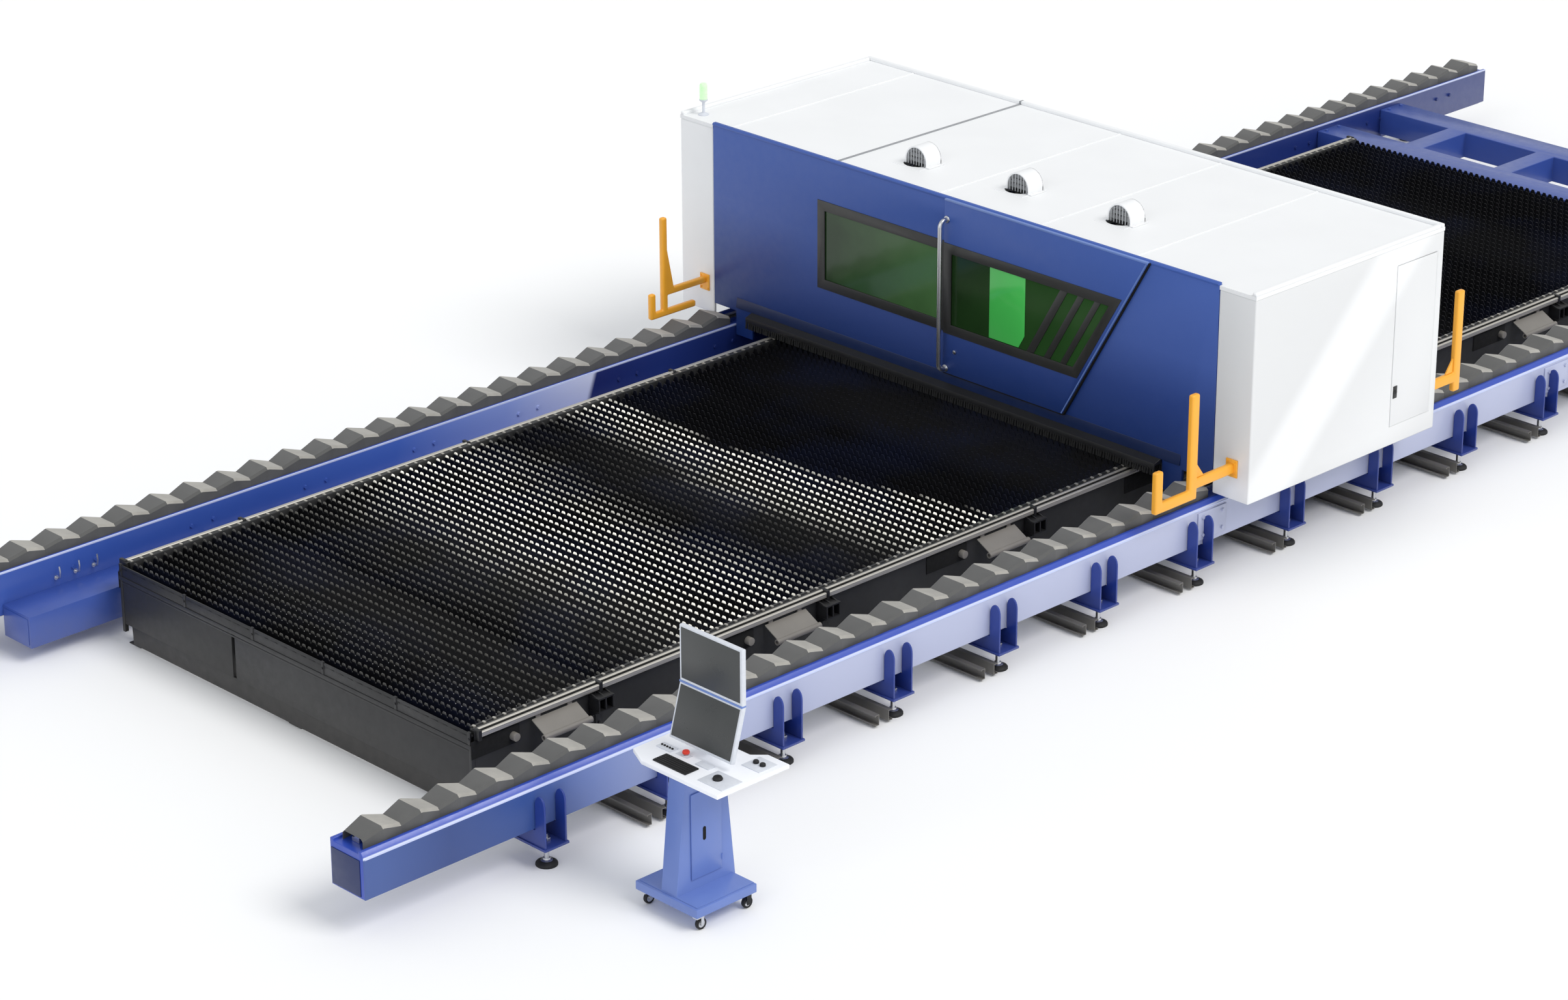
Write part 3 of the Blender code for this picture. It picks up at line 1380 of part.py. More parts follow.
def make_console_cabinet(console):
    """Base plate, tapering column with a cable space behind its door, and the two fixed casters' forks."""
    left, right = CONSOLE_X - COLUMN_WIDTH / 2, CONSOLE_X + COLUMN_WIDTH / 2
    foot, head = COLUMN_FOOT / 2, COLUMN_HEAD / 2
    middle = CONSOLE_Y + COLUMN_HEAD_SHIFT
    rim = [
        (middle - foot, BASE_TOP - CABINET_WALL),
        (middle + foot, BASE_TOP - CABINET_WALL),
        (middle + head, TRAY_BOTTOM - TOUCH),
        (middle - head, TRAY_BOTTOM - TOUCH),
    ]

    def column(shape):
        width, thickness, gap = FORK_PLATE
        slab(shape, "X", left, right, rim)
        for x, y in caster_places()[2:]:
            for shift in (-1, 1):
                near = x + shift * (CASTER_WIDTH / 2 + gap)
                low_x, high_x = sorted((near, near + shift * thickness))
                box(
                    shape,
                    (low_x, y - width / 2, FORK_REACH),
                    (high_x, y + width / 2, BASE_BOTTOM + CABINET_WALL),
                )

    def space(shape):
        width, low, high = CABINET_DOOR
        box(
            shape,
            (left + CABINET_WALL, middle - width / 2 + CABINET_WALL, low + CABINET_WALL),
            (right + CABINET_WALL, middle + width / 2 - CABINET_WALL, high - CABINET_WALL),
        )

    part(
        "console_cabinet",
        lambda shape: box(
            shape,
            (CONSOLE_X - BASE_SIZE[0] / 2, CONSOLE_Y - BASE_SIZE[1] / 2, BASE_BOTTOM),
            (CONSOLE_X + BASE_SIZE[0] / 2, CONSOLE_Y + BASE_SIZE[1] / 2, BASE_TOP),
        ),
        BLUE,
        parent=console,
        join=column,
        cut=space,
    )
    width, low, high = CABINET_DOOR
    hinge = empty("console_door_hinge", (right + CABINET_HINGE_PROUD, middle + width / 2, low), console)
    part(
        "console_door",
        lambda shape: box(
            shape,
            (right + TOUCH, middle - width / 2, low),
            (right + TOUCH + CABINET_DOOR_THICKNESS, middle + width / 2, high),
        ),
        BLUE,
        place=hinge["place"],
        parent=hinge,
    )


def caster_places():
    """Swivel casters at the front, fixed casters at the rear."""
    x = BASE_SIZE[0] / 2 - CASTER_INSET
    y = BASE_SIZE[1] / 2 - CASTER_INSET
    return [
        (CONSOLE_X - x, CONSOLE_Y - y),
        (CONSOLE_X + x, CONSOLE_Y - y),
        (CONSOLE_X - x, CONSOLE_Y + y),
        (CONSOLE_X + x, CONSOLE_Y + y),
    ]


def make_casters(console):
    for number, (x, y) in enumerate(caster_places(), 1):
        parent = console
        wheel_y = y
        if number <= 2:
            wheel_y = y + CASTER_TRAIL
            parent = empty(f"caster_swivel_{number}", (x, y, BASE_BOTTOM), console)
            over, before, past = CROWN
            crown = CASTER_RADIUS * 2 + over
            width, thickness, gap = SWIVEL_PLATE

            def plates(shape, x=x, wheel_y=wheel_y, crown=crown, width=width, thickness=thickness, gap=gap):
                for shift in (-1, 1):
                    near = x + shift * (CASTER_WIDTH / 2 + gap)
                    low_x, high_x = sorted((near, near + shift * thickness))
                    box(
                        shape,
                        (low_x, wheel_y - width / 2, FORK_REACH),
                        (high_x, wheel_y + width / 2, crown + thickness),
                    )

            part(
                f"caster_fork_{number}",
                lambda shape, x=x, y=y, wheel_y=wheel_y, crown=crown: box(
                    shape,
                    (x - CASTER_WIDTH / 2 - over, y - before, crown),
                    (x + CASTER_WIDTH / 2 + over, wheel_y + past, BASE_BOTTOM - TOUCH),
                ),
                BRIGHT_STEEL,
                place=parent["place"],
                parent=parent,
                join=plates,
            )
        axle = empty(f"caster_axle_{number}", (x, wheel_y, CASTER_RADIUS), parent)
        wheel = part(
            f"caster_wheel_{number}",
            lambda shape, x=x, wheel_y=wheel_y: cone(
                shape,
                (x - CASTER_WIDTH / 2, wheel_y, CASTER_RADIUS),
                (x + CASTER_WIDTH / 2, wheel_y, CASTER_RADIUS),
                CASTER_RADIUS,
                segments=20,
            ),
            RUBBER,
            place=axle["place"],
            parent=axle,
        )
        smooth(wheel)


def make_tray(console):
    """The keyboard tray: wider to the right, where a lower shelf is stepped back, and the screens' post."""
    left, right = CONSOLE_X - TRAY_REACH[0], CONSOLE_X + TRAY_REACH[1]
    front, rear = CONSOLE_Y - TRAY_FRONT, CONSOLE_Y + TRAY_REAR
    step_x = CONSOLE_X + TRAY_STEP[0]
    rim = [
        (left, front + TRAY_STEP[1]),
        (CONSOLE_X - TRAY_STEP[0], front),
        (right, front),
        (right, rear),
        (step_x, rear),
        (step_x - TRAY_STEP[1], rear - TRAY_STEP[1]),
        (left, rear - TRAY_STEP[1]),
    ]
    post_front = CONSOLE_Y + SCREEN_Y + PIVOT_BACK + POST_GAP
    width, depth, rise = POST
    part(
        "console_tray",
        lambda shape: slab(shape, "Z", TRAY_BOTTOM, TRAY_TOP, rim),
        CONSOLE_WHITE,
        parent=console,
        join=lambda shape: box(
            shape,
            (CONSOLE_X - width / 2, post_front, (TRAY_BOTTOM + TRAY_TOP) / 2),
            (CONSOLE_X + width / 2, post_front + depth, PIVOT_HEIGHT + rise),
        ),
    )


def make_screens(console):
    """Two screens on one arm: the lower leans back and the upper stands over it."""
    face = CONSOLE_Y + SCREEN_Y
    low_face = face - LOWER_SCREEN_RUN
    back = SCREEN_THICKNESS
    pivot_y = face + PIVOT_BACK
    width, height, start, gap = ARM
    tilt = empty("monitor_tilt", (CONSOLE_X, pivot_y, PIVOT_HEIGHT), console)
    rim = [
        (low_face, LOWER_SCREEN_BOTTOM),
        (low_face + back, LOWER_SCREEN_BOTTOM - SCREEN_SKEW),
        (face + back, SCREEN_JOINT - SCREEN_SKEW),
        (face + back, SCREEN_TOP),
        (face, SCREEN_TOP),
        (face, SCREEN_JOINT),
    ]
    part(
        "monitor_stack",
        lambda shape: slab(shape, "X", CONSOLE_X - SCREEN_HALF_WIDTH, CONSOLE_X + SCREEN_HALF_WIDTH, rim),
        SCREEN_GREY,
        place=tilt["place"],
        parent=tilt,
        join=lambda shape: box(
            shape,
            (CONSOLE_X - width / 2, low_face + start, PIVOT_HEIGHT - height / 2),
            (CONSOLE_X + width / 2, pivot_y - gap, PIVOT_HEIGHT + height / 2),
        ),
    )


def make_estop(console):
    x, y = CONSOLE_X + ESTOP_PLACE[0], CONSOLE_Y + ESTOP_PLACE[1]
    low = TRAY_TOP + ESTOP_LIFT
    press = empty("estop_press", (x, y, low), console)
    button = part(
        "estop_button",
        lambda shape: cone(
            shape, (x, y, low), (x, y, low + ESTOP_HEIGHT), ESTOP_RADIUS, ESTOP_RADIUS * 0.85, 16
        ),
        RED,
        place=press["place"],
        parent=press,
    )
    smooth(button)


def make_console():
    console = empty("console_roll", (CONSOLE_X, CONSOLE_Y, 0.0))
    make_console_cabinet(console)
    make_casters(console)
    make_tray(console)
    make_screens(console)
    make_estop(console)


# ---------------------------------------------------------------- assembly


def main():
    clear_scene()
    make_rail_lines()
    make_table_frame()
    make_slat_grid()
    make_nose_panel()
    make_channels()
    for number, (low_y, high_y) in enumerate(drawer_spans(), 1):
        make_drawer(f"slag_drawer_{number}", low_y, high_y)
    make_duct()
    make_rear_frame()
    make_gantry()
    make_console()


main()
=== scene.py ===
"""Finishes and fine pieces of the gantry sheet-cutting machine, built round its packed frame.

Metres, +Z up, in the frame's own coordinates: X across the table, +Y along the rails away from the loading
end. Every piece takes its place from the frame's nodes.
"""

import json
import math
import random

import bmesh
import bpy
from bpy.props import FloatProperty, FloatVectorProperty, IntProperty, PointerProperty
from mathutils import Matrix, Vector


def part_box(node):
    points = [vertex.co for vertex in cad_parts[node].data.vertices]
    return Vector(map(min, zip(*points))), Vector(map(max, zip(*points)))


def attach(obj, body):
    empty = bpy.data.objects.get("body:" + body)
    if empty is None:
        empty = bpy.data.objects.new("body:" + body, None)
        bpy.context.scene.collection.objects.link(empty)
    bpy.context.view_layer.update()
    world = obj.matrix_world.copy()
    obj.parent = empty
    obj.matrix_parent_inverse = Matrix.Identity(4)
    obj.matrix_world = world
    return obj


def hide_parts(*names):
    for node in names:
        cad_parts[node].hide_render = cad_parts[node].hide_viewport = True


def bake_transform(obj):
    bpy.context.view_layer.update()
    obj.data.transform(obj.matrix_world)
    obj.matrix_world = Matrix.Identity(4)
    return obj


bl_info = {
    "name": "Gantry sheet cutter",
    "version": (1, 0, 0),
    "blender": (4, 5, 0),
    "location": "3D View > Sidebar > Gantry cutter",
    "description": "Builds the fine pieces and finishes of a gantry sheet-cutting machine round its frame",
    "category": "Object",
}

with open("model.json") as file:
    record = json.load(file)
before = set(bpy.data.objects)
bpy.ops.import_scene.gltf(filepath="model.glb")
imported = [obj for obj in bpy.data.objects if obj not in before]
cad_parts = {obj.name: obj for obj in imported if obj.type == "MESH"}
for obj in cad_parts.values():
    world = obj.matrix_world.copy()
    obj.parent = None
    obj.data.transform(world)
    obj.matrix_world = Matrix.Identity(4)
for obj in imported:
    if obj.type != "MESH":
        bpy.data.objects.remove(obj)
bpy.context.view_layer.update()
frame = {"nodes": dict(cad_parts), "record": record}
BODY_OF = {node: body for body, nodes in frame["record"]["behaviour"]["bodies"].items() for node in nodes}
FINISHES = {}
HANDS = (("left", -1), ("right", 1))
FIRST_FOOT, LAST_FOOT = 1.44, 0.715  # in from the row's two ends
BAY = 2.152


def srgb(red, green, blue):
    """A colour given in 0-255 steps, made linear."""
    return tuple(((c / 255 + 0.055) / 1.055) ** 2.4 if c > 10 else c / 255 / 12.92 for c in (red, green, blue))


# ---------------------------------------------------------------- settings


def colour(name, description, default):
    return FloatVectorProperty(name=name, description=description, default=default, subtype="COLOR", size=3,
        min=0.0, max=1.0)


def length(name, description, default):
    return FloatProperty(name=name, description=description, default=default, min=0.0, unit="LENGTH")


def number(name, description, default):
    return IntProperty(name=name, description=description, default=default, min=1)


class PaintSettings(bpy.types.PropertyGroup):
    """Colours of the machine's finishes."""

    blue: colour("Blue", "Powder coat on the rails, feet and front sheet", srgb(56, 82, 160))
    white: colour("White", "Powder coat on the gantry's covers", srgb(242, 243, 244))
    graphite: colour("Graphite", "Paint on the table's frame and nose", srgb(34, 34, 35))
    black: colour("Black", "Channels, drawers and skirts", srgb(24, 24, 26))
    slat: colour("Slat steel", "Scorched cutting slats", srgb(9, 9, 13))
    # The tips' colour is a painted highlight, not a burn, and it also feeds the tips' painted glow.
    slat_tip_glint: colour("Slat tips", "Slats' burnt bright tips", srgb(246, 243, 232))
    steel: colour("Bright steel", "Handles, rails and stems", srgb(214, 215, 218))
    # Lit and shaded copies of one cloth: painted light on rear-facing folds, painted shade on front-facing
    # folds.
    cloth_painted_lit: colour("Light cloth", "Bellows' rear-facing folds", srgb(166, 163, 156))
    cloth_painted_shade: colour("Dark cloth", "Bellows' front-facing folds", srgb(84, 84, 83))
    # The lit pane's colour also feeds its glow: painted light, with no lamp behind it.
    glass_painted_glow: colour("Lit glass", "The clear inspection pane", srgb(64, 168, 76))
    window_frame: colour("Window frame", "Rims round the windows", srgb(44, 44, 43))
    amber: colour("Amber", "Trip bars", srgb(250, 176, 48))
    rubber: colour("Rubber", "Feet, wheels and keys", srgb(22, 22, 24))
    tray: colour("Tray", "The console's worktop", srgb(226, 228, 234))
    screen: colour("Screen", "The console's dark screens", srgb(66, 68, 68))
    red: colour("Red", "The emergency stop", srgb(224, 62, 44))
    lamp: colour("Lamp", "The signal lamp", srgb(190, 226, 182))


class BellowsSettings(bpy.types.PropertyGroup):
    """Folded covers over the guide rails."""

    pitch: length("Pitch", "Length of one fold at rest", 0.315)
    drop: length("Drop", "Valley below ridge", 0.052)
    tuck: length("Tuck", "Valley's side inside the ridge's", 0.02)
    ridge: length("Ridge", "Width of the stiff strip along a ridge", 0.014)
    cloth: length("Cloth", "Thickness of the coated cloth", 0.0025)
    slip: length("Slip", "Most that a fold may be off its place as it moves", 0.004)


class SlatSettings(bpy.types.PropertyGroup):
    """Toothed slats."""

    pitch: length("Pitch", "Distance between slats", 0.088)
    thickness: length("Thickness", "Slat's thickness", 0.006)
    tooth: length("Tooth", "Distance between teeth", 0.0616)
    tip: length("Tip", "Width of a tooth's flat tip", 0.024)
    depth: length("Depth", "Height of a tooth", 0.034)


class CabinSettings(bpy.types.PropertyGroup):
    """Windows, roof and trip bars of the gantry."""

    frame_width: length("Frame width", "Width of the windows' rims", 0.07)
    frame_proud: length("Frame proud", "Rims' height over the sheet", 0.006)
    lit_left: length("Lit pane left", "Lit pane's left edge", 0.45)
    lit_width: length("Lit pane width", "Lit pane's width", 0.37)
    slant: FloatProperty(name="Slant", description="Door's slant, sideways for each metre up", default=0.5725)
    hood_arch: length("Hood wall", "Thickness of a fan hood", 0.012)
    rim: length("Roof rim", "Width of the roof's rounded rims", 0.04)


class FootSettings(bpy.types.PropertyGroup):
    """Levelling feet under the rail beams."""

    count: number("Feet", "Feet under each beam", 16)
    spacing: length("Gusset spacing", "Between a foot's two gussets", 0.175)
    gusset: length("Gusset", "Gusset's thickness", 0.014)
    reach: length("Reach", "Gusset past the beam's outer face", 0.10)
    pad: length("Pad", "Radius of a foot's pad", 0.075)


class StageSettings(bpy.types.PropertyGroup):
    """Floor, light and camera."""

    floor: length("Floor", "Side of the floor", 240.0)
    key: FloatProperty(name="Key", description="Strength of the broad light from the right", default=1.5)
    fill: FloatProperty(name="Fill", description="Strength of the light from the loading end", default=0.5)
    sky: FloatProperty(name="Sky", description="Strength of the even light all round", default=0.66)
    lens: FloatProperty(name="Lens", description="Camera's focal length in millimetres", default=97.08)


# ---------------------------------------------------------------- drawing shapes


def on_plane(axis, u, v, w):
    return Vector({"X": (w, u, v), "Y": (u, w, v), "Z": (u, v, w)}[axis])


def soften(shape, edges, rounding, segments=2):
    bmesh.ops.bevel(shape, geom=list(edges), offset=rounding, offset_type="OFFSET", segments=segments,
        profile=0.5, affect="EDGES", clamp_overlap=True, material=-1)


def edges_of(verts):
    return {edge for vert in verts for edge in vert.link_edges}


def block(shape, low, high, rounding=0.0, segments=2, turn=None):
    """A rectangular body between opposite corners, its edges rounded, and turned about its middle."""
    low, high = Vector(low), Vector(high)
    matrix = Matrix.Translation((low + high) / 2) @ (turn or Matrix.Identity(4))
    matrix = matrix @ Matrix.Diagonal((*(abs(side) for side in high - low), 1.0))
    made = bmesh.ops.create_cube(shape, size=1.0, matrix=matrix)["verts"]
    if rounding:
        soften(shape, edges_of(made), rounding, segments)


def rod(shape, start, end, radius, end_radius=None, sides=16, rounding=0.0):
    """A round bar or cone between two points."""
    start, end = Vector(start), Vector(end)
    turn = Vector((0, 0, 1)).rotation_difference(end - start).to_matrix().to_4x4()
    made = bmesh.ops.create_cone(shape, cap_ends=True, segments=sides, radius1=radius,
        radius2=radius if end_radius is None else end_radius, depth=(end - start).length,
        matrix=Matrix.Translation((start + end) / 2) @ turn)["verts"]
    if rounding:
        caps = {f for v in made for f in v.link_faces if len(f.verts) > 4}
        soften(shape, {edge for cap in caps for edge in cap.edges}, rounding)


def plate(shape, axis, low, high, outline, rounding=0.0, segments=2):
    """An outline made a plate that is square to the axis."""
    rim = [shape.verts.new(on_plane(axis, u, v, low)) for u, v in outline]
    raised = bmesh.ops.extrude_face_region(shape, geom=[shape.faces.new(rim)])["geom"]
    top = [item for item in raised if isinstance(item, bmesh.types.BMVert)]
    bmesh.ops.translate(shape, vec=on_plane(axis, 0.0, 0.0, high - low), verts=top)
    faces = list({face for vert in rim + top for face in vert.link_faces})
    bmesh.ops.recalc_face_normals(shape, faces=faces)
    if rounding:
        soften(shape, edges_of(rim + top), rounding, segments)


def ring(shape, axis, low, high, outer, inner, rounding=0.0):
    """A flat rim between two outlines of as many corners."""
    loops = []
    for outline in (outer, inner):
        verts = [shape.verts.new(on_plane(axis, u, v, low)) for u, v in outline]
        loops += [shape.edges.new(pair) for pair in zip(verts, verts[1:] + verts[:1])]
    faces = bmesh.ops.bridge_loops(shape, edges=loops)["faces"]
    raised = bmesh.ops.extrude_face_region(shape, geom=faces)["geom"]
    top = [item for item in raised if isinstance(item, bmesh.types.BMVert)]
    bmesh.ops.translate(shape, vec=on_plane(axis, 0.0, 0.0, high - low), verts=top)
    verts = top + [vert for edge in loops for vert in edge.verts]
    bmesh.ops.recalc_face_normals(shape, faces=list({face for vert in verts for face in vert.link_faces}))
    if rounding:
        outside = [e for e in edges_of(verts) if e.is_manifold and e.calc_face_angle() > math.radians(60)]
        soften(shape, outside, rounding)


def turned(shape, centre, profile, axis="Z", steps=24):
    """A profile of (radius, height) points spun round an axis through the centre."""
    chain = [shape.verts.new((radius, 0.0, height)) for radius, height in profile]
    edges = [shape.edges.new(pair) for pair in zip(chain, chain[1:])]
    bmesh.ops.spin(shape, geom=chain + edges, cent=(0, 0, 0), axis=(0, 0, 1), angle=2 * math.pi, steps=steps,
        use_merge=True)
    reach = set(chain)
    front = list(chain)
    while front:
        near = {edge.other_vert(vert) for vert in front for edge in vert.link_edges} - reach
        reach |= near
        front = list(near)
    verts = list(reach)
    bmesh.ops.remove_doubles(shape, verts=verts, dist=1e-5)
    verts = [vert for vert in verts if vert.is_valid]
    faces = list({face for vert in verts for face in vert.link_faces})
    bmesh.ops.recalc_face_normals(shape, faces=faces)
    turns = {"X": Matrix.Rotation(math.pi / 2, 4, "Y"), "Y": Matrix.Rotation(-math.pi / 2, 4, "X")}
    matrix = Matrix.Translation(centre) @ turns.get(axis, Matrix.Identity(4))
    bmesh.ops.transform(shape, matrix=matrix, verts=verts)


def hex_bolt(shape, place, axis, size, side=1):
    """A washer and a hexagon head that stand out along an axis, or against it where side is -1."""
    out = Vector([float(side) if letter == axis else 0.0 for letter in "XYZ"])
    place = Vector(place)
    rod(shape, place - out * 0.002, place + out * size * 0.2, size * 1.15, sides=12)
    rod(shape, place + out * size * 0.1, place + out * size * 0.85, size, size * 0.92, sides=6)


def arc(centre, radius, start, end, steps):
    """Points on an arc, in degrees."""
    angles = [math.radians(start + (end - start) * i / steps) for i in range(steps + 1)]
    return [(centre[0] + radius * math.cos(a), centre[1] + radius * math.sin(a)) for a in angles]


def tube(shape, route, radius, sides=8):
    """A bent round bar along a route."""
    route = [Vector(point) for point in route]
    ring_verts = None
    for i, point in enumerate(route):
        along = (route[min(i + 1, len(route) - 1)] - route[max(i - 1, 0)]).normalized()
        turn = Vector((0, 0, 1)).rotation_difference(along).to_matrix().to_4x4()
        made = bmesh.ops.create_circle(shape, segments=sides, radius=radius,
            matrix=Matrix.Translation(point) @ turn)["verts"]
        edges = [edge for edge in edges_of(made) if all(vert in made for vert in edge.verts)]
        if ring_verts is None:
            shape.faces.new(made)
        else:
            bmesh.ops.bridge_loops(shape, edges=ring_verts + edges)
        ring_verts = edges
    shape.faces.new(made)
    bmesh.ops.recalc_face_normals(shape, faces=shape.faces)


def copied(node):
    """A copy of a node's mesh with its triangles merged into whole faces."""
    shape = bmesh.new()
    shape.from_mesh(frame["nodes"][node].data)
    bmesh.ops.remove_doubles(shape, verts=shape.verts, dist=1e-5)
    bmesh.ops.dissolve_limit(shape, angle_limit=math.radians(0.5), verts=shape.verts, edges=shape.edges)
    return shape


def sharp_edges(shape, angle=28.0):
    return [e for e in shape.edges if e.is_manifold and e.calc_face_angle() > math.radians(angle)]


def piece(name, shape, finishes, body, replaces=(), crease=34.0):
    """A finished piece: its mesh, its materials, the body it rides on and the nodes it stands for."""
    mesh = bpy.data.meshes.new(name)
    shape.to_mesh(mesh)
    shape.free()
    for finish in [finishes] if isinstance(finishes, str) else finishes:
        mesh.materials.append(FINISHES[finish])
    made = bpy.data.objects.new(name, mesh)
    bpy.context.scene.collection.objects.link(made)
    mesh.shade_smooth()
    mesh.set_sharp_from_angle(angle=math.radians(crease))
    if body:
        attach(made, body)
    if replaces:
        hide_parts(*replaces)
    return made


def softened(node, finishes, rounding, pick=None, segments=2, extra=None, name=None):
    """A node's own shape with rounded edges. pick gives a face's finish from its middle, and extra draws
    more onto the piece."""
    shape = copied(node)
    soften(shape, sharp_edges(shape), rounding, segments)
    if pick:
        for face in shape.faces:
            face.material_index = pick(face.calc_center_median(), face)
    if extra:
        extra(shape)
    return piece(name or f"{node}_shell", shape, finishes, BODY_OF[node], (node,))


# ---------------------------------------------------------------- finishes


class Finish:
    """A material in the making: its shader, and the nodes that feed it."""

    def __init__(self, name, **constants):
        self.material = bpy.data.materials.new(name)
        self.material.use_nodes = True
        self.tree = self.material.node_tree
        self.shader = self.tree.nodes["Principled BSDF"]
        for key, value in constants.items():
            self.shader.inputs[key.replace("_", " ").title().replace("Ior", "IOR")].default_value = value
        self.where = self.add("TexCoord").outputs["Object"]
        FINISHES[name] = self.material

    def add(self, kind, inputs=None, **settings):
        made = self.tree.nodes.new(f"ShaderNode{kind}")
        for key, value in settings.items():
            setattr(made, key, value)
        for key, value in (inputs or {}).items():
            self.plug(value, made.inputs[key])
        return made

    def plug(self, value, socket):
        if isinstance(value, bpy.types.NodeSocket):
            self.tree.links.new(value, socket)
        else:
            socket.default_value = value

    def feed(self, socket, value):
        self.tree.links.new(value, self.shader.inputs[socket])

    def clouds(self, scale, detail=3.0, rough=0.5, where=None):
        inputs = {"Vector": where or self.where, "Scale": scale, "Detail": detail, "Roughness": rough}
        return self.add("TexNoise", inputs).outputs["Fac"]

    def stretch(self, value, from_low, from_high, low=0.0, high=1.0):
        inputs = {"Value": value, "From Min": from_low, "From Max": from_high, "To Min": low, "To Max": high}
        return self.add("MapRange", inputs).outputs["Result"]

    def mix(self, factor, first, second, kind="MIX"):
        made = self.add("Mix", data_type="RGBA", blend_type=kind)
        for index, value in ((0, factor), (6, first), (7, second)):
            if index and not isinstance(value, bpy.types.NodeSocket):
                value = (*value[:3], 1.0)
            self.plug(value, made.inputs[index])
        return made.outputs[2]

    def calculate(self, operation, first, second):
        return self.add("Math", {0: first, 1: second}, operation=operation).outputs["Value"]

    def ramp(self, factor, stops, interpolation="LINEAR"):
        made = self.add("ValToRGB", {"Fac": factor})
        made.color_ramp.interpolation = interpolation
        elements = made.color_ramp.elements
        while len(elements) < len(stops):
            elements.new(0.5)
        for element, (position, value) in zip(elements, stops):
            element.position = position
            element.color = (*value, 1.0) if isinstance(value, tuple) else (value, value, value, 1.0)
        return made.outputs["Color"]

    def along(self, letter):
        return self.add("SeparateXYZ", {"Vector": self.where}).outputs[letter]

    def relief(self, height, distance, strength=0.6):
        inputs = {"Height": height, "Distance": distance, "Strength": strength}
        self.feed("Normal", self.add("Bump", inputs).outputs["Normal"])


def shade(value, share):
    return tuple(min(1.0, c * share) for c in value)


def powder_coat(name, base, roughness, spread=0.07, grime=0.0, coat=0.25, peel=420.0):
    """Powder coat: soft mottling, orange peel and, where asked, workshop dust low down."""
    made = Finish(name, coat_weight=coat, coat_roughness=0.22, specular_ior_level=0.5)
    mottle = made.stretch(made.clouds(1.7, 4.0), 0.35, 0.68)
    tone = made.mix(mottle, shade(base, 1 - spread), shade(base, 1 + spread))
    if grime:
        low = made.stretch(made.along("Z"), 0.0, 0.35, grime, 0.0)
        dusty = made.calculate("MULTIPLY", low, made.clouds(9.0, 6.0, 0.65))
        tone = made.mix(dusty, tone, srgb(96, 92, 86))
    made.feed("Base Color", tone)
    wear = made.clouds(14.0, 5.0, 0.6)
    made.feed("Roughness", made.stretch(wear, 0.3, 0.7, roughness - 0.05, roughness + 0.07))
    made.relief(made.clouds(peel, 2.0), 0.0003, 0.35)
    return made


def make_sheet_blue(paint):
    """The front sheet's paint, with painted light: its upper part lighter and its lower part darker."""
    made = powder_coat("sheet_blue", paint.blue, 0.5, 0.03, coat=0.08)
    # Painted light along Z: darker towards the bottom, lighter towards the top.
    stops = ((0.0, srgb(22, 52, 116)), (0.3, srgb(36, 66, 138)), (0.55, srgb(58, 88, 164)),
        (1.0, srgb(58, 92, 172)))
    tone = made.ramp(made.stretch(made.along("Z"), 0.8, 2.3), stops)
    speckled = made.mix(made.clouds(2.2, 4.0), tone, shade((1, 1, 1), 0.93), "MULTIPLY")
    made.feed("Base Color", made.mix(0.35, tone, speckled))


def make_cover_side(paint):
    """The right cover's paint, with a painted sheen: a soft band of painted reflection that runs across it."""
    made = powder_coat("cover_side", paint.white, 0.34, 0.012, coat=0.4, peel=300.0)
    across = made.calculate("SUBTRACT", made.along("Y"), made.along("Z"))
    # Painted reflection: bright and grey bands across the cover.
    stops = ((0.0, 0.84), (0.36, 0.84), (0.42, 1.0), (0.52, 1.0), (0.58, 0.86), (0.8, 0.9), (1.0, 0.82))
    sheen = made.ramp(made.stretch(across, -3.4, 0.6), stops, "EASE")
    made.feed("Base Color", made.mix(1.0, paint.white, sheen, "MULTIPLY"))


def make_lit_beam(name, paint, node, side, lean, run, stops, lip):
    """A beam's paint with a painted sheen on its lit face, given as stops along a run in Y that leans as it
    rises, and a painted highlight line along its lip."""
    made = powder_coat(name, paint.blue, 0.33, 0.05, coat=0.3)
    height = made.along("Z")
    reach = made.calculate("SUBTRACT", made.along("Y"), made.calculate("MULTIPLY", height, lean))
    sheen = made.ramp(made.stretch(reach, *run), stops)
    across = made.calculate("MULTIPLY", made.along("X"), side)
    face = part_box(node)[1].x * side
    near, far = 0.010, 0.006
    if side < 0:
        lit = made.stretch(across, face + far, face + near, 1.0, 0.0)
    else:
        lit = made.stretch(across, face - near, face - far)
    # The lit face takes the painted sheen, and its lip the painted highlight line.
    edge = made.calculate("MULTIPLY", made.stretch(height, *lip), lit)
    tone = made.mix(lit, srgb(44, 74, 176), sheen)
    made.feed("Base Color", made.mix(edge, tone, srgb(206, 214, 242)))


def make_lit_beams(paint):
    """Painted reflections: the right beam is painted pale along its outer side, and the left one along its inner
    side up to the gantry's slanted reflection, which is painted dark."""
    left = ((0.0, srgb(54, 84, 166)), (0.30, srgb(66, 98, 184)), (0.58, srgb(132, 150, 212)),
        (0.80, srgb(204, 210, 238)), (0.812, srgb(28, 38, 98)), (1.0, srgb(32, 50, 116)))
    make_lit_beam("lit_left", paint, "left_rail_beam", -1, 0.36, (-6.0, -2.0), left, (0.600, 0.610))
    right = ((0.0, srgb(60, 86, 150)), (0.14, srgb(40, 66, 128)), (0.30, srgb(48, 78, 146)),
        (0.45, srgb(106, 126, 184)), (0.75, srgb(168, 176, 208)), (1.0, srgb(178, 184, 212)))
    make_lit_beam("lit_right", paint, "right_rail_beam", 1, 0.0, (-9.0, -5.0), right, (0.566, 0.574))


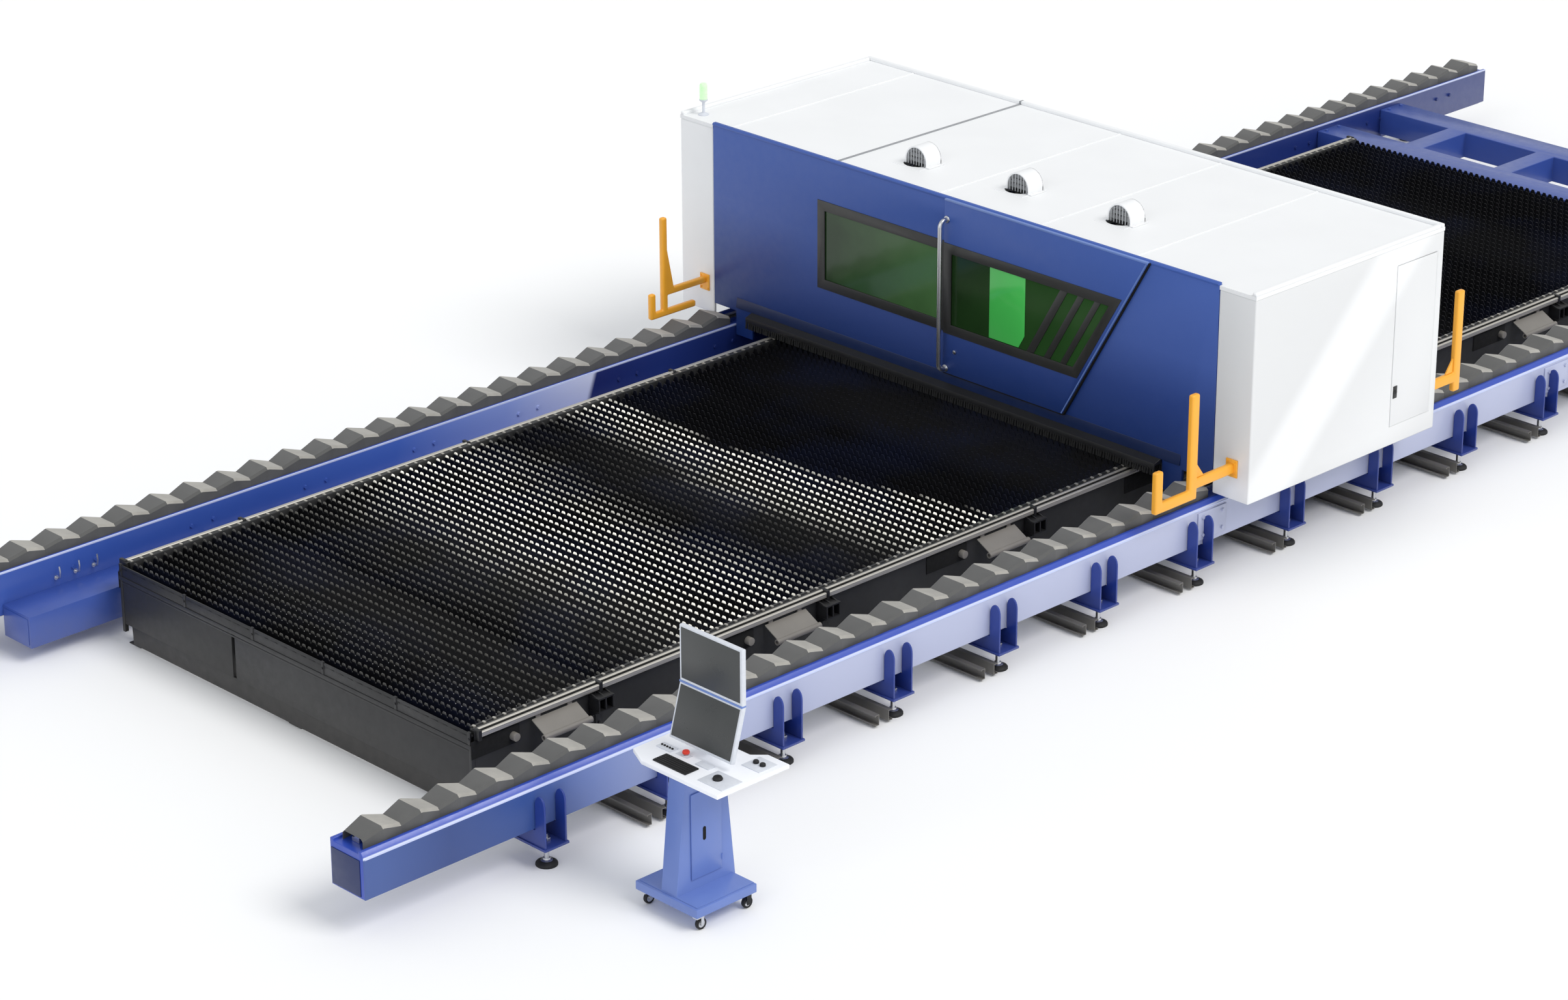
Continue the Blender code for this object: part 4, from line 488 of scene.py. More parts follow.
def make_bare_steel(name, base, roughness, stroke=(1.0, 40.0, 40.0), metallic=1.0):
    """Brushed or ground steel, with its strokes along one axis."""
    made = Finish(name, metallic=metallic)
    drawn = made.add("Mapping", {"Vector": made.where, "Scale": stroke}).outputs["Vector"]
    grain = made.clouds(22.0, 5.0, 0.7, drawn)
    made.feed("Base Color", made.mix(grain, shade(base, 0.8), shade(base, 1.1)))
    made.feed("Roughness", made.stretch(grain, 0.3, 0.7, roughness - 0.08, roughness + 0.1))
    made.relief(grain, 0.0003, 0.3)


def make_slat_steel(paint):
    """Scorched slats: dark flanks with a blue bloom, and tips with a painted highlight and a painted glow in
    bands along the table, with the gantry's shadow painted as a dark zone next to it."""
    made = Finish("slat_steel", specular_ior_level=0.25)
    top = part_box("slat_grid")[1].z
    run = made.along("Y")
    aside = made.calculate("MAXIMUM", made.along("X"), -0.6)
    skewed = made.calculate("SUBTRACT", run, made.calculate("MULTIPLY", aside, 0.22))
    drift = made.stretch(made.clouds(0.9, 2.0), 0.3, 0.7, -0.12, 0.12)
    reach = 7.5
    band = made.stretch(made.calculate("ADD", run, drift), -reach, reach)
    # Where along Y the tips carry their painted highlight.
    stops = ((-6.9, 0.05), (-5.85, 0.09), (-5.45, 0.6), (-5.2, 1.0), (-4.65, 0.95), (-4.25, 0.22),
        (-4.05, 0.02), (-3.6, 0.03), (-3.3, 0.75), (-3.1, 1.0), (3.0, 1.0), (3.2, 0.05))
    glint_band = made.ramp(band, tuple(((y + reach) / (2 * reach), level) for y, level in stops))
    # Painted shadow of the gantry: past a slanted line near it the tips lose their highlight.
    edge = made.stretch(made.calculate("ADD", skewed, drift), -2.9, -2.78, 1.0, 0.0)
    glint_band = made.calculate("MULTIPLY", glint_band, edge)
    tip = made.stretch(made.along("Z"), top - 0.019, top - 0.011)
    ragged = made.stretch(made.clouds(55.0, 4.0, 0.7), 0.30, 0.55, 0.55, 1.0)
    tip_glint = made.calculate("MULTIPLY", made.calculate("MULTIPLY", tip, ragged), glint_band)
    bloom = made.stretch(made.clouds(1.3), 0.45, 0.7)
    flank = made.mix(bloom, paint.slat, srgb(12, 18, 40))
    slag = made.stretch(made.clouds(120.0, 5.0, 0.7), 0.55, 0.75, 0.0, 0.5)
    flank = made.mix(slag, flank, srgb(34, 32, 33))
    # The tips' painted highlight over the dark flanks.
    made.feed("Base Color", made.mix(tip_glint, flank, paint.slat_tip_glint))
    made.feed("Roughness", made.stretch(tip_glint, 0.0, 1.0, 0.5, 0.62))
    # The tips glow as painted light, though no lamp lights them.
    glow = made.add("RGB").outputs["Color"]
    glow.default_value = (*paint.slat_tip_glint, 1.0)
    made.feed("Emission Color", glow)
    made.feed("Emission Strength", made.calculate("MULTIPLY", tip_glint, 0.75))
    made.relief(made.clouds(160.0, 5.0, 0.7), 0.0012)


def make_cloth(name, base):
    """Coated cloth: a fine weave, soft creases across the fold and grey dust."""
    made = Finish(name, sheen_weight=0.25, sheen_roughness=0.5)
    threads = {"Vector": made.where, "Scale": 180.0, "Distortion": 0.6}
    warp, weft = (made.add("TexWave", threads, bands_direction=way).outputs["Fac"] for way in "XY")
    weave = made.calculate("MAXIMUM", warp, weft)
    dust = made.stretch(made.clouds(6.0, 6.0, 0.65), 0.35, 0.7)
    made.feed("Base Color", made.mix(dust, shade(base, 0.86), shade(base, 1.12)))
    made.feed("Roughness", made.stretch(dust, 0.0, 1.0, 0.62, 0.82))
    height = made.calculate("ADD", made.calculate("MULTIPLY", weave, 0.12), made.clouds(11.0))
    made.relief(height, 0.003, 0.5)


def set_glow(made, tone, glow):
    if glow:
        made.feed("Emission Color", tone)
        made.shader.inputs["Emission Strength"].default_value = glow


def make_glass(name, dark, light, across, glow=0.0):
    """Laser-safe acrylic: deep green, with a painted reflection that makes it a little lighter to one side, and
    a polished face.
    """
    made = Finish(name, roughness=0.12, coat_weight=0.15, coat_roughness=0.05, specular_ior_level=0.35)
    # Painted reflection: lighter towards one side, along X.
    side = made.stretch(made.along("X"), *across)
    haze = made.calculate("ADD", side, made.stretch(made.clouds(2.5), 0.3, 0.7, -0.12, 0.12))
    tone = made.mix(haze, dark, light)
    made.feed("Base Color", tone)
    set_glow(made, tone, glow)
    made.relief(made.clouds(3.0, 1.0), 0.002, 0.05)


def make_moulded(name, base, roughness, grain=900.0, glow=0.0, scuffs=30.0):
    """Moulded plastic or rubber with a fine grain."""
    made = Finish(name, specular_ior_level=0.45)
    scuff = made.clouds(scuffs, 5.0, 0.65)
    tone = made.mix(scuff, shade(base, 0.86), shade(base, 1.12))
    made.feed("Base Color", tone)
    made.feed("Roughness", made.stretch(scuff, 0.3, 0.7, roughness - 0.07, roughness + 0.08))
    set_glow(made, tone, glow)
    made.relief(made.clouds(grain, 2.0), 0.0002, 0.4)


def make_finishes(paint):
    for name, base, roughness, spread, more in (
        ("rail_blue", paint.blue, 0.33, 0.05, {"grime": 0.5, "coat": 0.4}),
        ("blue_trim", srgb(104, 132, 196), 0.34, 0.04, {}),
        # A darker copy of the rails' blue for the feet: painted shade.
        ("foot_blue", srgb(32, 58, 142), 0.36, 0.06, {"grime": 0.5, "coat": 0.3}),
        ("console_blue", srgb(100, 124, 190), 0.36, 0.05, {"coat": 0.3}),
        # A pale blue for the beams' edge rods: a painted highlight.
        ("edge_pale", srgb(196, 206, 240), 0.4, 0.03, {}),
        ("end_blue", srgb(26, 42, 92), 0.42, 0.05, {"coat": 0.1}),
        ("roof_white", paint.white, 0.55, 0.012, {"coat": 0.05}),
        ("fan_grey", srgb(176, 178, 180), 0.45, 0.1, {}),
        # Painted shade: a dark blue for the fold strip, standing in for the fold's shadow line.
        ("sheet_fold_shade", srgb(12, 34, 78), 0.4, 0.04, {}),
        ("galvanized", srgb(112, 110, 106), 0.42, 0.14, {"grime": 0.4, "coat": 0.1}),
        ("cover_white", paint.white, 0.34, 0.012, {"coat": 0.4, "peel": 300.0}),
        ("cover_seam", srgb(150, 152, 156), 0.5, 0.05, {}),
        ("graphite", paint.graphite, 0.5, 0.08, {"grime": 0.4, "coat": 0.1}),
        ("graphite_light", srgb(132, 128, 122), 0.42, 0.12, {"grime": 0.3, "coat": 0.1}),
        ("black_paint", paint.black, 0.5, 0.1, {"grime": 0.5, "coat": 0.1}),
        ("amber", paint.amber, 0.38, 0.04, {"coat": 0.3}),
        ("window_rim", paint.window_frame, 0.42, 0.06, {"coat": 0.1}),
        ("tray_white", shade(paint.tray, 1.2), 0.5, 0.03, {}),
    ):
        powder_coat(name, base, roughness, spread, **more)
    make_sheet_blue(paint)
    make_cover_side(paint)
    make_lit_beams(paint)
    make_slat_steel(paint)
    make_bare_steel("bright_steel", paint.steel, 0.3)
    make_bare_steel("edge_steel", srgb(205, 201, 192), 0.38, (40.0, 1.0, 40.0), 0.7)
    # Lit and shaded copies of one cloth: painted light and painted shade.
    make_cloth("cloth_painted_lit", paint.cloth_painted_lit)
    make_cloth("cloth_painted_shade", paint.cloth_painted_shade)
    make_glass("laser_glass", srgb(34, 58, 30), srgb(74, 112, 66), (-1.4, -0.1))
    make_glass("door_glass", srgb(28, 50, 24), srgb(46, 84, 40), (0.0, 1.4))
    # The lit pane glows: painted light.
    make_glass("lit_glass", paint.glass_painted_glow, shade(paint.glass_painted_glow, 1.2), (0.4, 0.9), glow=0.18)
    make_moulded("rubber", paint.rubber, 0.62)
    make_moulded("bristle", srgb(20, 20, 20), 0.8, 300.0)
    make_moulded("stop_red", paint.red, 0.35)
    make_moulded("screen_glass", paint.screen, 0.3, 1500.0, scuffs=3.0)
    make_moulded("bezel", srgb(214, 218, 226), 0.4)
    make_moulded("lamp_lens", paint.lamp, 0.3, glow=0.5)
    # A near-black for painted shade in gaps, slots and recesses.
    make_moulded("dark_void", srgb(9, 9, 10), 0.9)


# ---------------------------------------------------------------- rail lines


def foot_places(node, feet):
    """The middles of the levelling feet, from the two ends of their row."""
    low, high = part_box(node)
    first, last = low.y + FIRST_FOOT, high.y - LAST_FOOT
    return [first + (last - first) * i / (feet.count - 1) for i in range(feet.count)]


def make_beams():
    for hand, side in HANDS:
        node = f"{hand}_rail_beam"
        low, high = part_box(node)
        feet = foot_places(f"{hand}_foot_row", bpy.context.scene.cutter_feet)
        inner = low.x if side > 0 else high.x
        outer = high.x if side > 0 else low.x

        def fittings(shape, low=low, side=side, inner=inner, outer=outer, feet=feet):
            for foot in feet:
                for shift in (0.0, 0.2):
                    hex_bolt(shape, (inner, foot + shift, 0.48), "X", 0.016, -side)
            for y in (-1.06, 3.21):
                block(shape, (outer - side * 0.002, y - 0.16, 0.33), (outer + side * 0.012, y + 0.16, 0.55),
                    0.003)
                for bolt in ((-0.11, 0.37), (0.11, 0.37), (-0.11, 0.51), (0.11, 0.51)):
                    place = (outer + side * 0.012, y + bolt[0], bolt[1])
                    hex_bolt(shape, place, "X", 0.014, side)

        softened(node, [f"lit_{hand}"], 0.004, extra=fittings)
        shape = bmesh.new()
        cap = 0.006
        for end, far in ((low.y, low.y - cap), (high.y, high.y + cap)):
            block(shape, (low.x + 0.012, end, low.z + 0.012), (high.x - 0.04, far, high.z - 0.06), 0.0025)
        piece(f"{hand}_beam_end_caps", shape, "end_blue", "bed")
        # A pale rod along each beam's edge: a painted highlight, the line of light on the beam's fold.
        shape = bmesh.new()
        if side < 0:
            edge = (inner - 0.004, high.z - 0.002)
        else:
            edge = (outer - 0.001, high.z - 0.046)
        rod(shape, (edge[0], low.y + 0.01, edge[1]), (edge[0], high.y - 0.01, edge[1]), 0.005, sides=8)
        piece(f"{hand}_beam_edge_highlight", shape, "edge_pale", "bed")
    make_lifting_hooks()


def make_lifting_hooks():
    """Three cable hooks on the left beam's inner face, by its front end."""
    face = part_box("left_rail_beam")[1].x
    shape = bmesh.new()
    for y in (-7.79, -7.62, -7.46):
        route = [(face - 0.004, y, 0.44), (face + 0.03, y, 0.44), (face + 0.05, y, 0.455)]
        route += [(face + 0.058, y, 0.50), (face + 0.052, y, 0.54)]
        tube(shape, route, 0.007)
        rod(shape, (face - 0.002, y, 0.44), (face + 0.006, y, 0.44), 0.018, sides=12)
    piece("beam_hooks", shape, "bright_steel", "bed")


def make_feet(feet):
    """Sole plates, arched gussets, foot plates, levelling stems with lock nuts, and domed pads."""
    for hand, side in HANDS:
        node = f"{hand}_foot_row"
        low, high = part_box(node)
        beam_low, beam_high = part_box(f"{hand}_rail_beam")
        outer = beam_high.x if side > 0 else -beam_low.x
        inner = beam_low.x if side > 0 else -beam_high.x
        metal, ground = bmesh.new(), bmesh.new()
        sole_top = beam_low.z - 0.0003
        block(metal, (side * (inner + 0.02), low.y, sole_top - 0.012),
            (side * (outer - 0.02), high.y, sole_top), 0.002)
        plate_z = 0.169
        face, tip = outer + 0.004, outer + feet.reach
        shoulder, peak = beam_low.z + 0.17, high.z
        arch_radius = (tip - face) / 2
        outline = [(inner + 0.07, sole_top - 0.006), (inner + 0.07, plate_z), (tip, plate_z)]
        outline += [(face + arch_radius + arch_radius * math.cos(a),
            shoulder + (peak - shoulder) * math.sin(a)) for a in (math.radians(15 * i) for i in range(13))]
        outline += [(face, sole_top - 0.006)]
        outline = [(side * u, v) for u, v in outline]
        for y in foot_places(node, feet):
            for shift in (-feet.spacing / 2, feet.spacing / 2):
                middle = y + shift
                plate(metal, "Y", middle - feet.gusset / 2, middle + feet.gusset / 2, outline, 0.0025, 1)
            end = tip + 0.01
            block(metal, (side * (end - 0.33), y - 0.105, plate_z - 0.0126),
                (side * end, y + 0.105, plate_z + 0.0054), 0.003)
            x = side * outer
            for bottom, top, radius, sides, rounding in (
                (0.03, plate_z - 0.01, 0.017, 12, 0.0),
                (plate_z - 0.034, plate_z - 0.012, 0.03, 6, 0.002),
                (plate_z + 0.004, plate_z + 0.03, 0.03, 6, 0.002),
                (plate_z + 0.02, plate_z + 0.055, 0.014, 10, 0.0),
            ):
                rod(ground, (x, y, bottom), (x, y, top), radius, sides=sides, rounding=rounding)
            turned(ground, (x, y, 0.0), ((0.0, 0.0), (feet.pad, 0.0), (feet.pad, 0.012),
                (feet.pad * 0.93, 0.02), (feet.pad * 0.55, 0.034), (0.026, 0.04), (0.024, 0.052), (0.0, 0.052)),
                steps=20)
        for part in ground.faces:
            part.material_index = 1 if part.calc_center_median().z < 0.036 else 0
        # The brackets take the darker copy of the blue: painted shade.
        piece(f"{hand}_feet_brackets", metal, "foot_blue", "bed", (node,))
        piece(f"{hand}_levelling_feet", ground, ["bright_steel", "rubber"], "bed")


def make_guides():
    """Guide rails with their counterbored bolt holes' plugs, under the bellows."""
    for hand in ("left", "right"):
        low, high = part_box(f"{hand}_guide_rail")
        middle = (low.x + high.x) / 2

        def plugs(shape, low=low, high=high, middle=middle):
            count = 60
            for i in range(count):
                y = low.y + (high.y - low.y) * (i + 0.5) / count
                rod(shape, (middle, y, high.z - 0.002), (middle, y, high.z + 0.0008), 0.008, sides=8)

        softened(f"{hand}_guide_rail", ["bright_steel"], 0.002, extra=plugs, segments=1)


def inverse_smoothstep(weight):
    return 0.5 - math.sin(math.asin(1 - 2 * weight) / 3)


def make_bellows(settings):
    """Each bellows is a row of folds. The pieces are cut where the smooth blend between their two bodies
    would leave an even spread of the folds by more than the slip."""
    chance = random.Random(7)
    for hand in ("left", "right"):
        for end in ("front", "rear"):
            node = f"bellows_{end}_{hand}"
            low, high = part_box(node)
            stations = bellows_stations(settings, low, high, chance)
            total = high.y - low.y
            weights = [(y - low.y) / total for y, _, _ in stations]
            start, count = 0, 0
            while start < len(stations) - 1:
                stop = start + 1
                while stop + 1 < len(stations) and off_place(weights, stations, start, stop + 1) < settings.slip:
                    stop += 1
                count += 1
                shape = bmesh.new()
                draw_folds(shape, stations[start : stop + 1], low, high, settings)
                made = piece(f"{node}_folds_{count:02d}", shape, ["cloth_painted_lit", "cloth_painted_shade"], None,
                    (node,), crease=20.0)
                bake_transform(made)
                start = stop


def off_place(weights, stations, start, stop):
    """How far the folds between two stations would be from an even spread at the longest travel."""
    travel = 7.1
    first, last = inverse_smoothstep(weights[start]), inverse_smoothstep(weights[stop])
    near, far = stations[start][0], stations[stop][0]
    worst = 0.0
    for i in range(start + 1, stop):
        t = first + (last - first) * (stations[i][0] - near) / (far - near)
        worst = max(worst, abs(t * t * (3 - 2 * t) - weights[i]) * travel)
    return worst


def bellows_stations(settings, low, high, chance):
    """(y, how far up its fold from 0 to 1, ridge's own height error) along one bellows."""
    folds = round((high.y - low.y) / settings.pitch)
    pitch = (high.y - low.y) / folds
    stations = [(low.y, 0.0, 0.0)]
    for i in range(folds):
        ridge = low.y + pitch * (i + 0.5)
        droop = chance.uniform(-0.007, 0.0)
        stations.append((ridge - settings.ridge / 2, 1.0, droop))
        stations.append((ridge + settings.ridge / 2, 1.0, droop))
        stations.append((low.y + pitch * (i + 1), 0.0, chance.uniform(0.0, 0.008)))
    return stations


def draw_folds(shape, stations, low, high, settings):
    """A stretch of the folded trough, open below."""
    corner = 0.018
    previous = None
    for y, up, error in stations:
        tuck = settings.tuck * (1 - up)
        left, right = low.x + tuck, high.x - tuck
        top = high.z - settings.drop * (1 - up) + error
        shoulder = top - corner
        line = [(left, low.z), (left, shoulder), (left + corner, top)]
        line += [(right - corner, top), (right, shoulder), (right, low.z)]
        if previous is None:
            verts = [shape.verts.new((x, y, z)) for x, z in line]
            edges = [shape.edges.new(pair) for pair in zip(verts, verts[1:])]
        else:
            raised = bmesh.ops.extrude_edge_only(shape, edges=previous)["geom"]
            verts = [item for item in raised if isinstance(item, bmesh.types.BMVert)]
            edges = [item for item in raised if isinstance(item, bmesh.types.BMEdge)]
            verts = ordered_chain(edges)
            old = ordered_chain(previous)
            if (verts[0].co - old[0].co).length > (verts[-1].co - old[0].co).length:
                verts.reverse()
            if (Vector((old[0].co.x, 0, 0)) - Vector((line[0][0], 0, 0))).length > (
                Vector((old[-1].co.x, 0, 0)) - Vector((line[0][0], 0, 0))
            ).length:
                verts.reverse()
            for vert, (x, z) in zip(verts, line):
                vert.co = (x, y, z)
            edges = [shape.edges.get(pair) for pair in zip(verts, verts[1:])]
        previous = edges
    bmesh.ops.recalc_face_normals(shape, faces=shape.faces)
    top_face = max(shape.faces, key=lambda face: face.calc_center_median().z)
    if top_face.normal.z < 0:
        bmesh.ops.reverse_faces(shape, faces=shape.faces)
    # Painted shade: front-facing slopes and the sides take the shaded cloth, the rest the lit cloth.
    for face in shape.faces:
        face.material_index = 1 if face.normal.y < -0.05 or abs(face.normal.x) > 0.8 else 0
    bmesh.ops.solidify(shape, geom=list(shape.faces), thickness=settings.cloth)


def ordered_chain(edges):
    """The vertices of an open chain of edges, from one end to the other."""
    links = {}
    for edge in edges:
        for vert in edge.verts:
            links.setdefault(vert, []).append(edge)
    here = next(vert for vert, near in links.items() if len(near) == 1)
    chain, used = [here], set()
    while True:
        onward = [edge for edge in links[here] if edge not in used]
        if not onward:
            return chain
        used.add(onward[0])
        here = onward[0].other_vert(here)
        chain.append(here)


# ---------------------------------------------------------------- table


def slat_outline(low_z, top_z, left, right, settings):
    """One slat's outline: a plain foot and a row of flat-topped teeth."""
    root = top_z - settings.depth
    teeth = int((right - left) / settings.tooth)
    pitch = (right - left) / teeth
    points = [(left, low_z), (right, low_z)]
    for i in reversed(range(teeth)):
        middle = left + pitch * (i + 0.5)
        points += [(middle + pitch / 2 - 0.004, root), (middle + settings.tip / 2, top_z)]
        points += [(middle - settings.tip / 2, top_z), (middle - pitch / 2 + 0.004, root)]
    return points


def make_slats(settings):
    low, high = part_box("slat_grid")
    frame_low, frame_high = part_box("table_frame")
    top = high.z - 0.001
    foot = top - 0.09
    first = frame_low.y + 0.04
    count = int((frame_high.y - 0.04 - first) / settings.pitch) + 1
    outline = slat_outline(foot, top, low.x + 0.022, high.x - 0.022, settings)
    spans = ((0, 64), (64, 128), (128, count))
    for number_of, (start, stop) in enumerate(spans, 1):
        shape = bmesh.new()
        y = first + settings.pitch * start
        plate(shape, "Y", y - settings.thickness / 2, y + settings.thickness / 2, outline)
        one = list(shape.verts) + list(shape.edges) + list(shape.faces)
        for i in range(1, stop - start):
            copy = bmesh.ops.duplicate(shape, geom=one)["geom"]
            verts = [item for item in copy if isinstance(item, bmesh.types.BMVert)]
            bmesh.ops.translate(shape, vec=(0, settings.pitch * i, 0), verts=verts)
        made = piece(f"toothed_slats_{number_of}", shape, "slat_steel", "bed", ("slat_grid",))
        made.data.shade_flat()
    shape = bmesh.new()
    for left in (low.x, high.x - 0.02):
        block(shape, (left, low.y, foot - 0.02), (left + 0.02, high.y, high.z), 0.002)
    piece("comb_bars", shape, "graphite", "bed")
    shape = bmesh.new()
    for left in (low.x - 0.012, high.x - 0.014):
        for i in range(count):
            y = first + settings.pitch * i
            block(shape, (left, y - 0.009, high.z - 0.006), (left + 0.026, y + 0.009, high.z + 0.005))
    piece("slat_end_tabs", shape, "edge_steel", "bed")


def seams():
    """The cross joints between the table's bays."""
    return [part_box("table_frame")[1].y - BAY * i for i in range(6, -1, -1)]


def make_table():
    low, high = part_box("table_frame")

    def stiffeners(shape):
        for y in seams()[:-1]:
            for side in (-1, 1):
                edge = side * high.x
                face = edge + side * 0.008
                block(shape, (edge - side * 0.002, y - 0.03, low.z + 0.29), (face, y + 0.03, high.z - 0.03),
                    0.002)
                for z in (0.34, 0.44, 0.54):
                    hex_bolt(shape, (face, y, z), "X", 0.011, side)

    softened("table_frame", ["graphite"], 0.003, segments=1, extra=stiffeners)
    make_nose(low, high)
    make_edge_rails(low, high)
    make_side_fittings(high)


def make_nose(low, high):
    """The loading end: two folded sheets with a joint, a recessed kick plate, a top comb strip in five
    lengths, and corner posts."""
    box_low, box_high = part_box("table_nose_panel")
    face, back = box_low.y, box_high.y
    shape = bmesh.new()
    joint = -0.64
    for left, right in ((low.x, joint - 0.002), (joint + 0.002, high.x)):
        block(shape, (left + 0.03, face + 0.008, 0.165), (right - (0.03 if right == high.x else 0), back, 0.51),
            0.004)
    block(shape, (low.x, face, 0.508), (high.x, back, 0.54), 0.004)
    block(shape, (low.x + 0.03, face + 0.005, 0.485), (high.x - 0.03, back, 0.500), 0.003)
    for left in (low.x, high.x - 0.03):
        block(shape, (left, face + 0.005, 0.10), (left + 0.03, back, 0.52), 0.004)
    piece("nose_sheets", shape, "graphite", "bed", ("table_nose_panel",))
    shape = bmesh.new()
    slope = [(back, 0.02), (back, 0.166), (face + 0.016, 0.166), (face + 0.022, 0.02)]
    plate(shape, "X", low.x + 0.10, high.x - 0.14, slope, 0.003)
    piece("nose_kick_plate", shape, "black_paint", "bed")
    shape = bmesh.new()
    lengths = 5
    step = (high.x - low.x) / lengths
    for i in range(lengths):
        left, right = low.x + step * i + 0.006, low.x + step * (i + 1) - 0.006
        block(shape, (left, face + 0.004, 0.541), (right, face + 0.014, 0.628), 0.002)
        block(shape, (left, face + 0.004, 0.60), (right, back - 0.002, 0.612), 0.002)
    for i in range(lengths + 1):
        x = min(max(low.x + step * i, low.x + 0.02), high.x - 0.02)
        block(shape, (x - 0.014, face + 0.001, 0.54), (x + 0.014, face + 0.016, 0.636), 0.003)
        hex_bolt(shape, (x, face + 0.002, 0.585), "Y", 0.009, -1)
    piece("nose_comb_strip", shape, "black_paint", "bed")


def make_edge_rails(low, high):
    """Twin beads along both long edges of the table, in lengths that meet at the seams, with a clamp there."""
    ends = [low.y, *seams()]
    for hand, side in HANDS:
        metal, dark = bmesh.new(), bmesh.new()
        edge = side * high.x
        for a, b in zip(ends, ends[1:]):
            for out, top, radius in ((-0.012, 0.6485, 0.011), (0.024, 0.636, 0.012)):
                x = edge + side * out
                rod(metal, (x, a + 0.012, top - radius), (x, b - 0.012, top - radius), radius, sides=10)
            block(metal, (edge + side * 0.001, a + 0.012, 0.596), (edge + side * 0.034, b - 0.012, 0.618),
                0.003)
        for y in ends:
            y = min(max(y, low.y + 0.016), high.y - 0.016)
            block(dark, (edge - side * 0.03, y - 0.014, 0.575), (edge + side * 0.04, y + 0.014, 0.6498), 0.003)
        piece(f"{hand}_edge_rail", metal, "edge_steel", "bed")
        piece(f"{hand}_edge_clamps", dark, "black_paint", "bed")


def make_side_fittings(high):
    """On the table's sides: for each bay a sheet flap with a rolled lower edge, a dark inspection slot, a
    hose stub, and a twin bracket at the seam."""
    for hand, side in HANDS:
        flap, tubes, dark, bracket = (bmesh.new() for _ in range(4))
        edge = side * high.x
        for i, seam in enumerate(seams()[:-1]):
            far_y = seam - 0.20
            near_y = far_y - 0.40
            if side < 0 and i % 2:
                continue
            root, lip = edge + side * 0.012, edge + side * 0.15
            outline = [(root, 0.566), (lip, 0.492), (lip - side * 0.004, 0.485), (root, 0.556)]
            plate(flap, "Y", near_y, far_y, outline, 0.002, 1)
            turned_roll(tubes, (lip - side * 0.004, near_y - 0.012, 0.478), far_y - near_y + 0.024)
            for y in (near_y + 0.06, far_y - 0.06):
                block(flap, (edge + side * 0.002, y - 0.02, 0.54), (edge + side * 0.014, y + 0.02, 0.59), 0.003)
            # A dark plate of painted shade stands for the inspection slot.
            slot = (edge + side * 0.0005, near_y - 0.52, 0.44), (edge + side * 0.006, near_y - 0.10, 0.57)
            block(dark, *slot, 0.002)
            tube_x = edge + side * 0.05
            rod(tubes, (edge, near_y - 0.16, 0.50), (tube_x, near_y - 0.16, 0.50), 0.03, sides=16,
                rounding=0.003)
            near, far = edge + side * 0.001, edge + side * 0.105
            for y in (seam - 0.075, seam - 0.015, seam + 0.05):
                outline = [(near, 0.40), (far, 0.47), (far, 0.565), (near, 0.59)]
                plate(bracket, "Y", y - 0.006, y + 0.006, outline, 0.002, 1)
            for z in (0.558, 0.462):
                block(bracket, (near, seam - 0.085, z), (edge + side * 0.107, seam + 0.06, z + 0.012), 0.002)
        piece(f"{hand}_table_flaps", flap, "graphite_light", "bed")
        piece(f"{hand}_flap_rolls", tubes, ["graphite_light"], "bed")
        piece(f"{hand}_slot_shadows", dark, "dark_void", "bed")
        piece(f"{hand}_seam_brackets", bracket, "black_paint", "bed")


def turned_roll(shape, place, run):
    """A short open pipe along Y with a thick wall."""
    x, y, z = place
    turned(shape, (x, y, z), ((0.014, 0.0), (0.022, 0.0), (0.022, run), (0.014, run), (0.014, 0.0)), "Y", 14)


def make_floor_pieces():
    """C-section floor channels with their ties, and slag drawers with folded rims and pull handles."""
    low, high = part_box("drawer_channels")
    feet = foot_places("right_foot_row", bpy.context.scene.cutter_feet)
    table_low, table_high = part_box("table_frame")
    used = [y for y in feet if table_low.y + 0.31 < y < table_high.y - 0.1]
    shape = bmesh.new()
    wall = 0.005
    for foot in used:
        for shift, open_side in ((-0.065, -1), (0.065, 1)):
            y = foot - 0.18 + shift
            web = y - open_side * 0.02
            rim, lip, skin = (web + open_side * reach for reach in (0.04, 0.034, wall))
            foot_z, top = 0.018, high.z
            outline = [(web, foot_z), (web, top), (rim, top), (rim, top - 0.012), (lip, top - 0.012)]
            outline += [(lip, top - wall), (skin, top - wall), (skin, foot_z + wall), (lip, foot_z + wall)]
            outline += [(lip, 0.030), (rim, 0.030), (rim, foot_z)]
            plate(shape, "X", low.x, high.x, outline)
    for x in (-1.6965, 1.6965):
        block(shape, (x - 0.025, low.y + 0.02, 0.0), (x + 0.025, used[-1], 0.0185), 0.002)
    piece("floor_channels", shape, "galvanized", "bed", ("drawer_channels",))
    for index in range(1, 7):
        node = f"slag_drawer_{index}"

        def handle(shape, node=node):
            near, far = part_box(node)
            middle = (near.y + far.y) / 2
            for y in (near.y - 0.004, far.y - 0.008):
                block(shape, (near.x, y, far.z - 0.014), (far.x, y + 0.012, far.z + 0.002), 0.002)
            grip = [(far.x - 0.004, middle - 0.11, 0.16), (far.x + 0.035, middle - 0.11, 0.16)]
            grip += [(far.x + 0.045, middle - 0.10, 0.16), (far.x + 0.045, middle + 0.10, 0.16)]
            grip += [(far.x + 0.035, middle + 0.11, 0.16), (far.x - 0.004, middle + 0.11, 0.16)]
            tube(shape, grip, 0.007)

        softened(node, ["black_paint"], 0.002, segments=1, extra=handle)


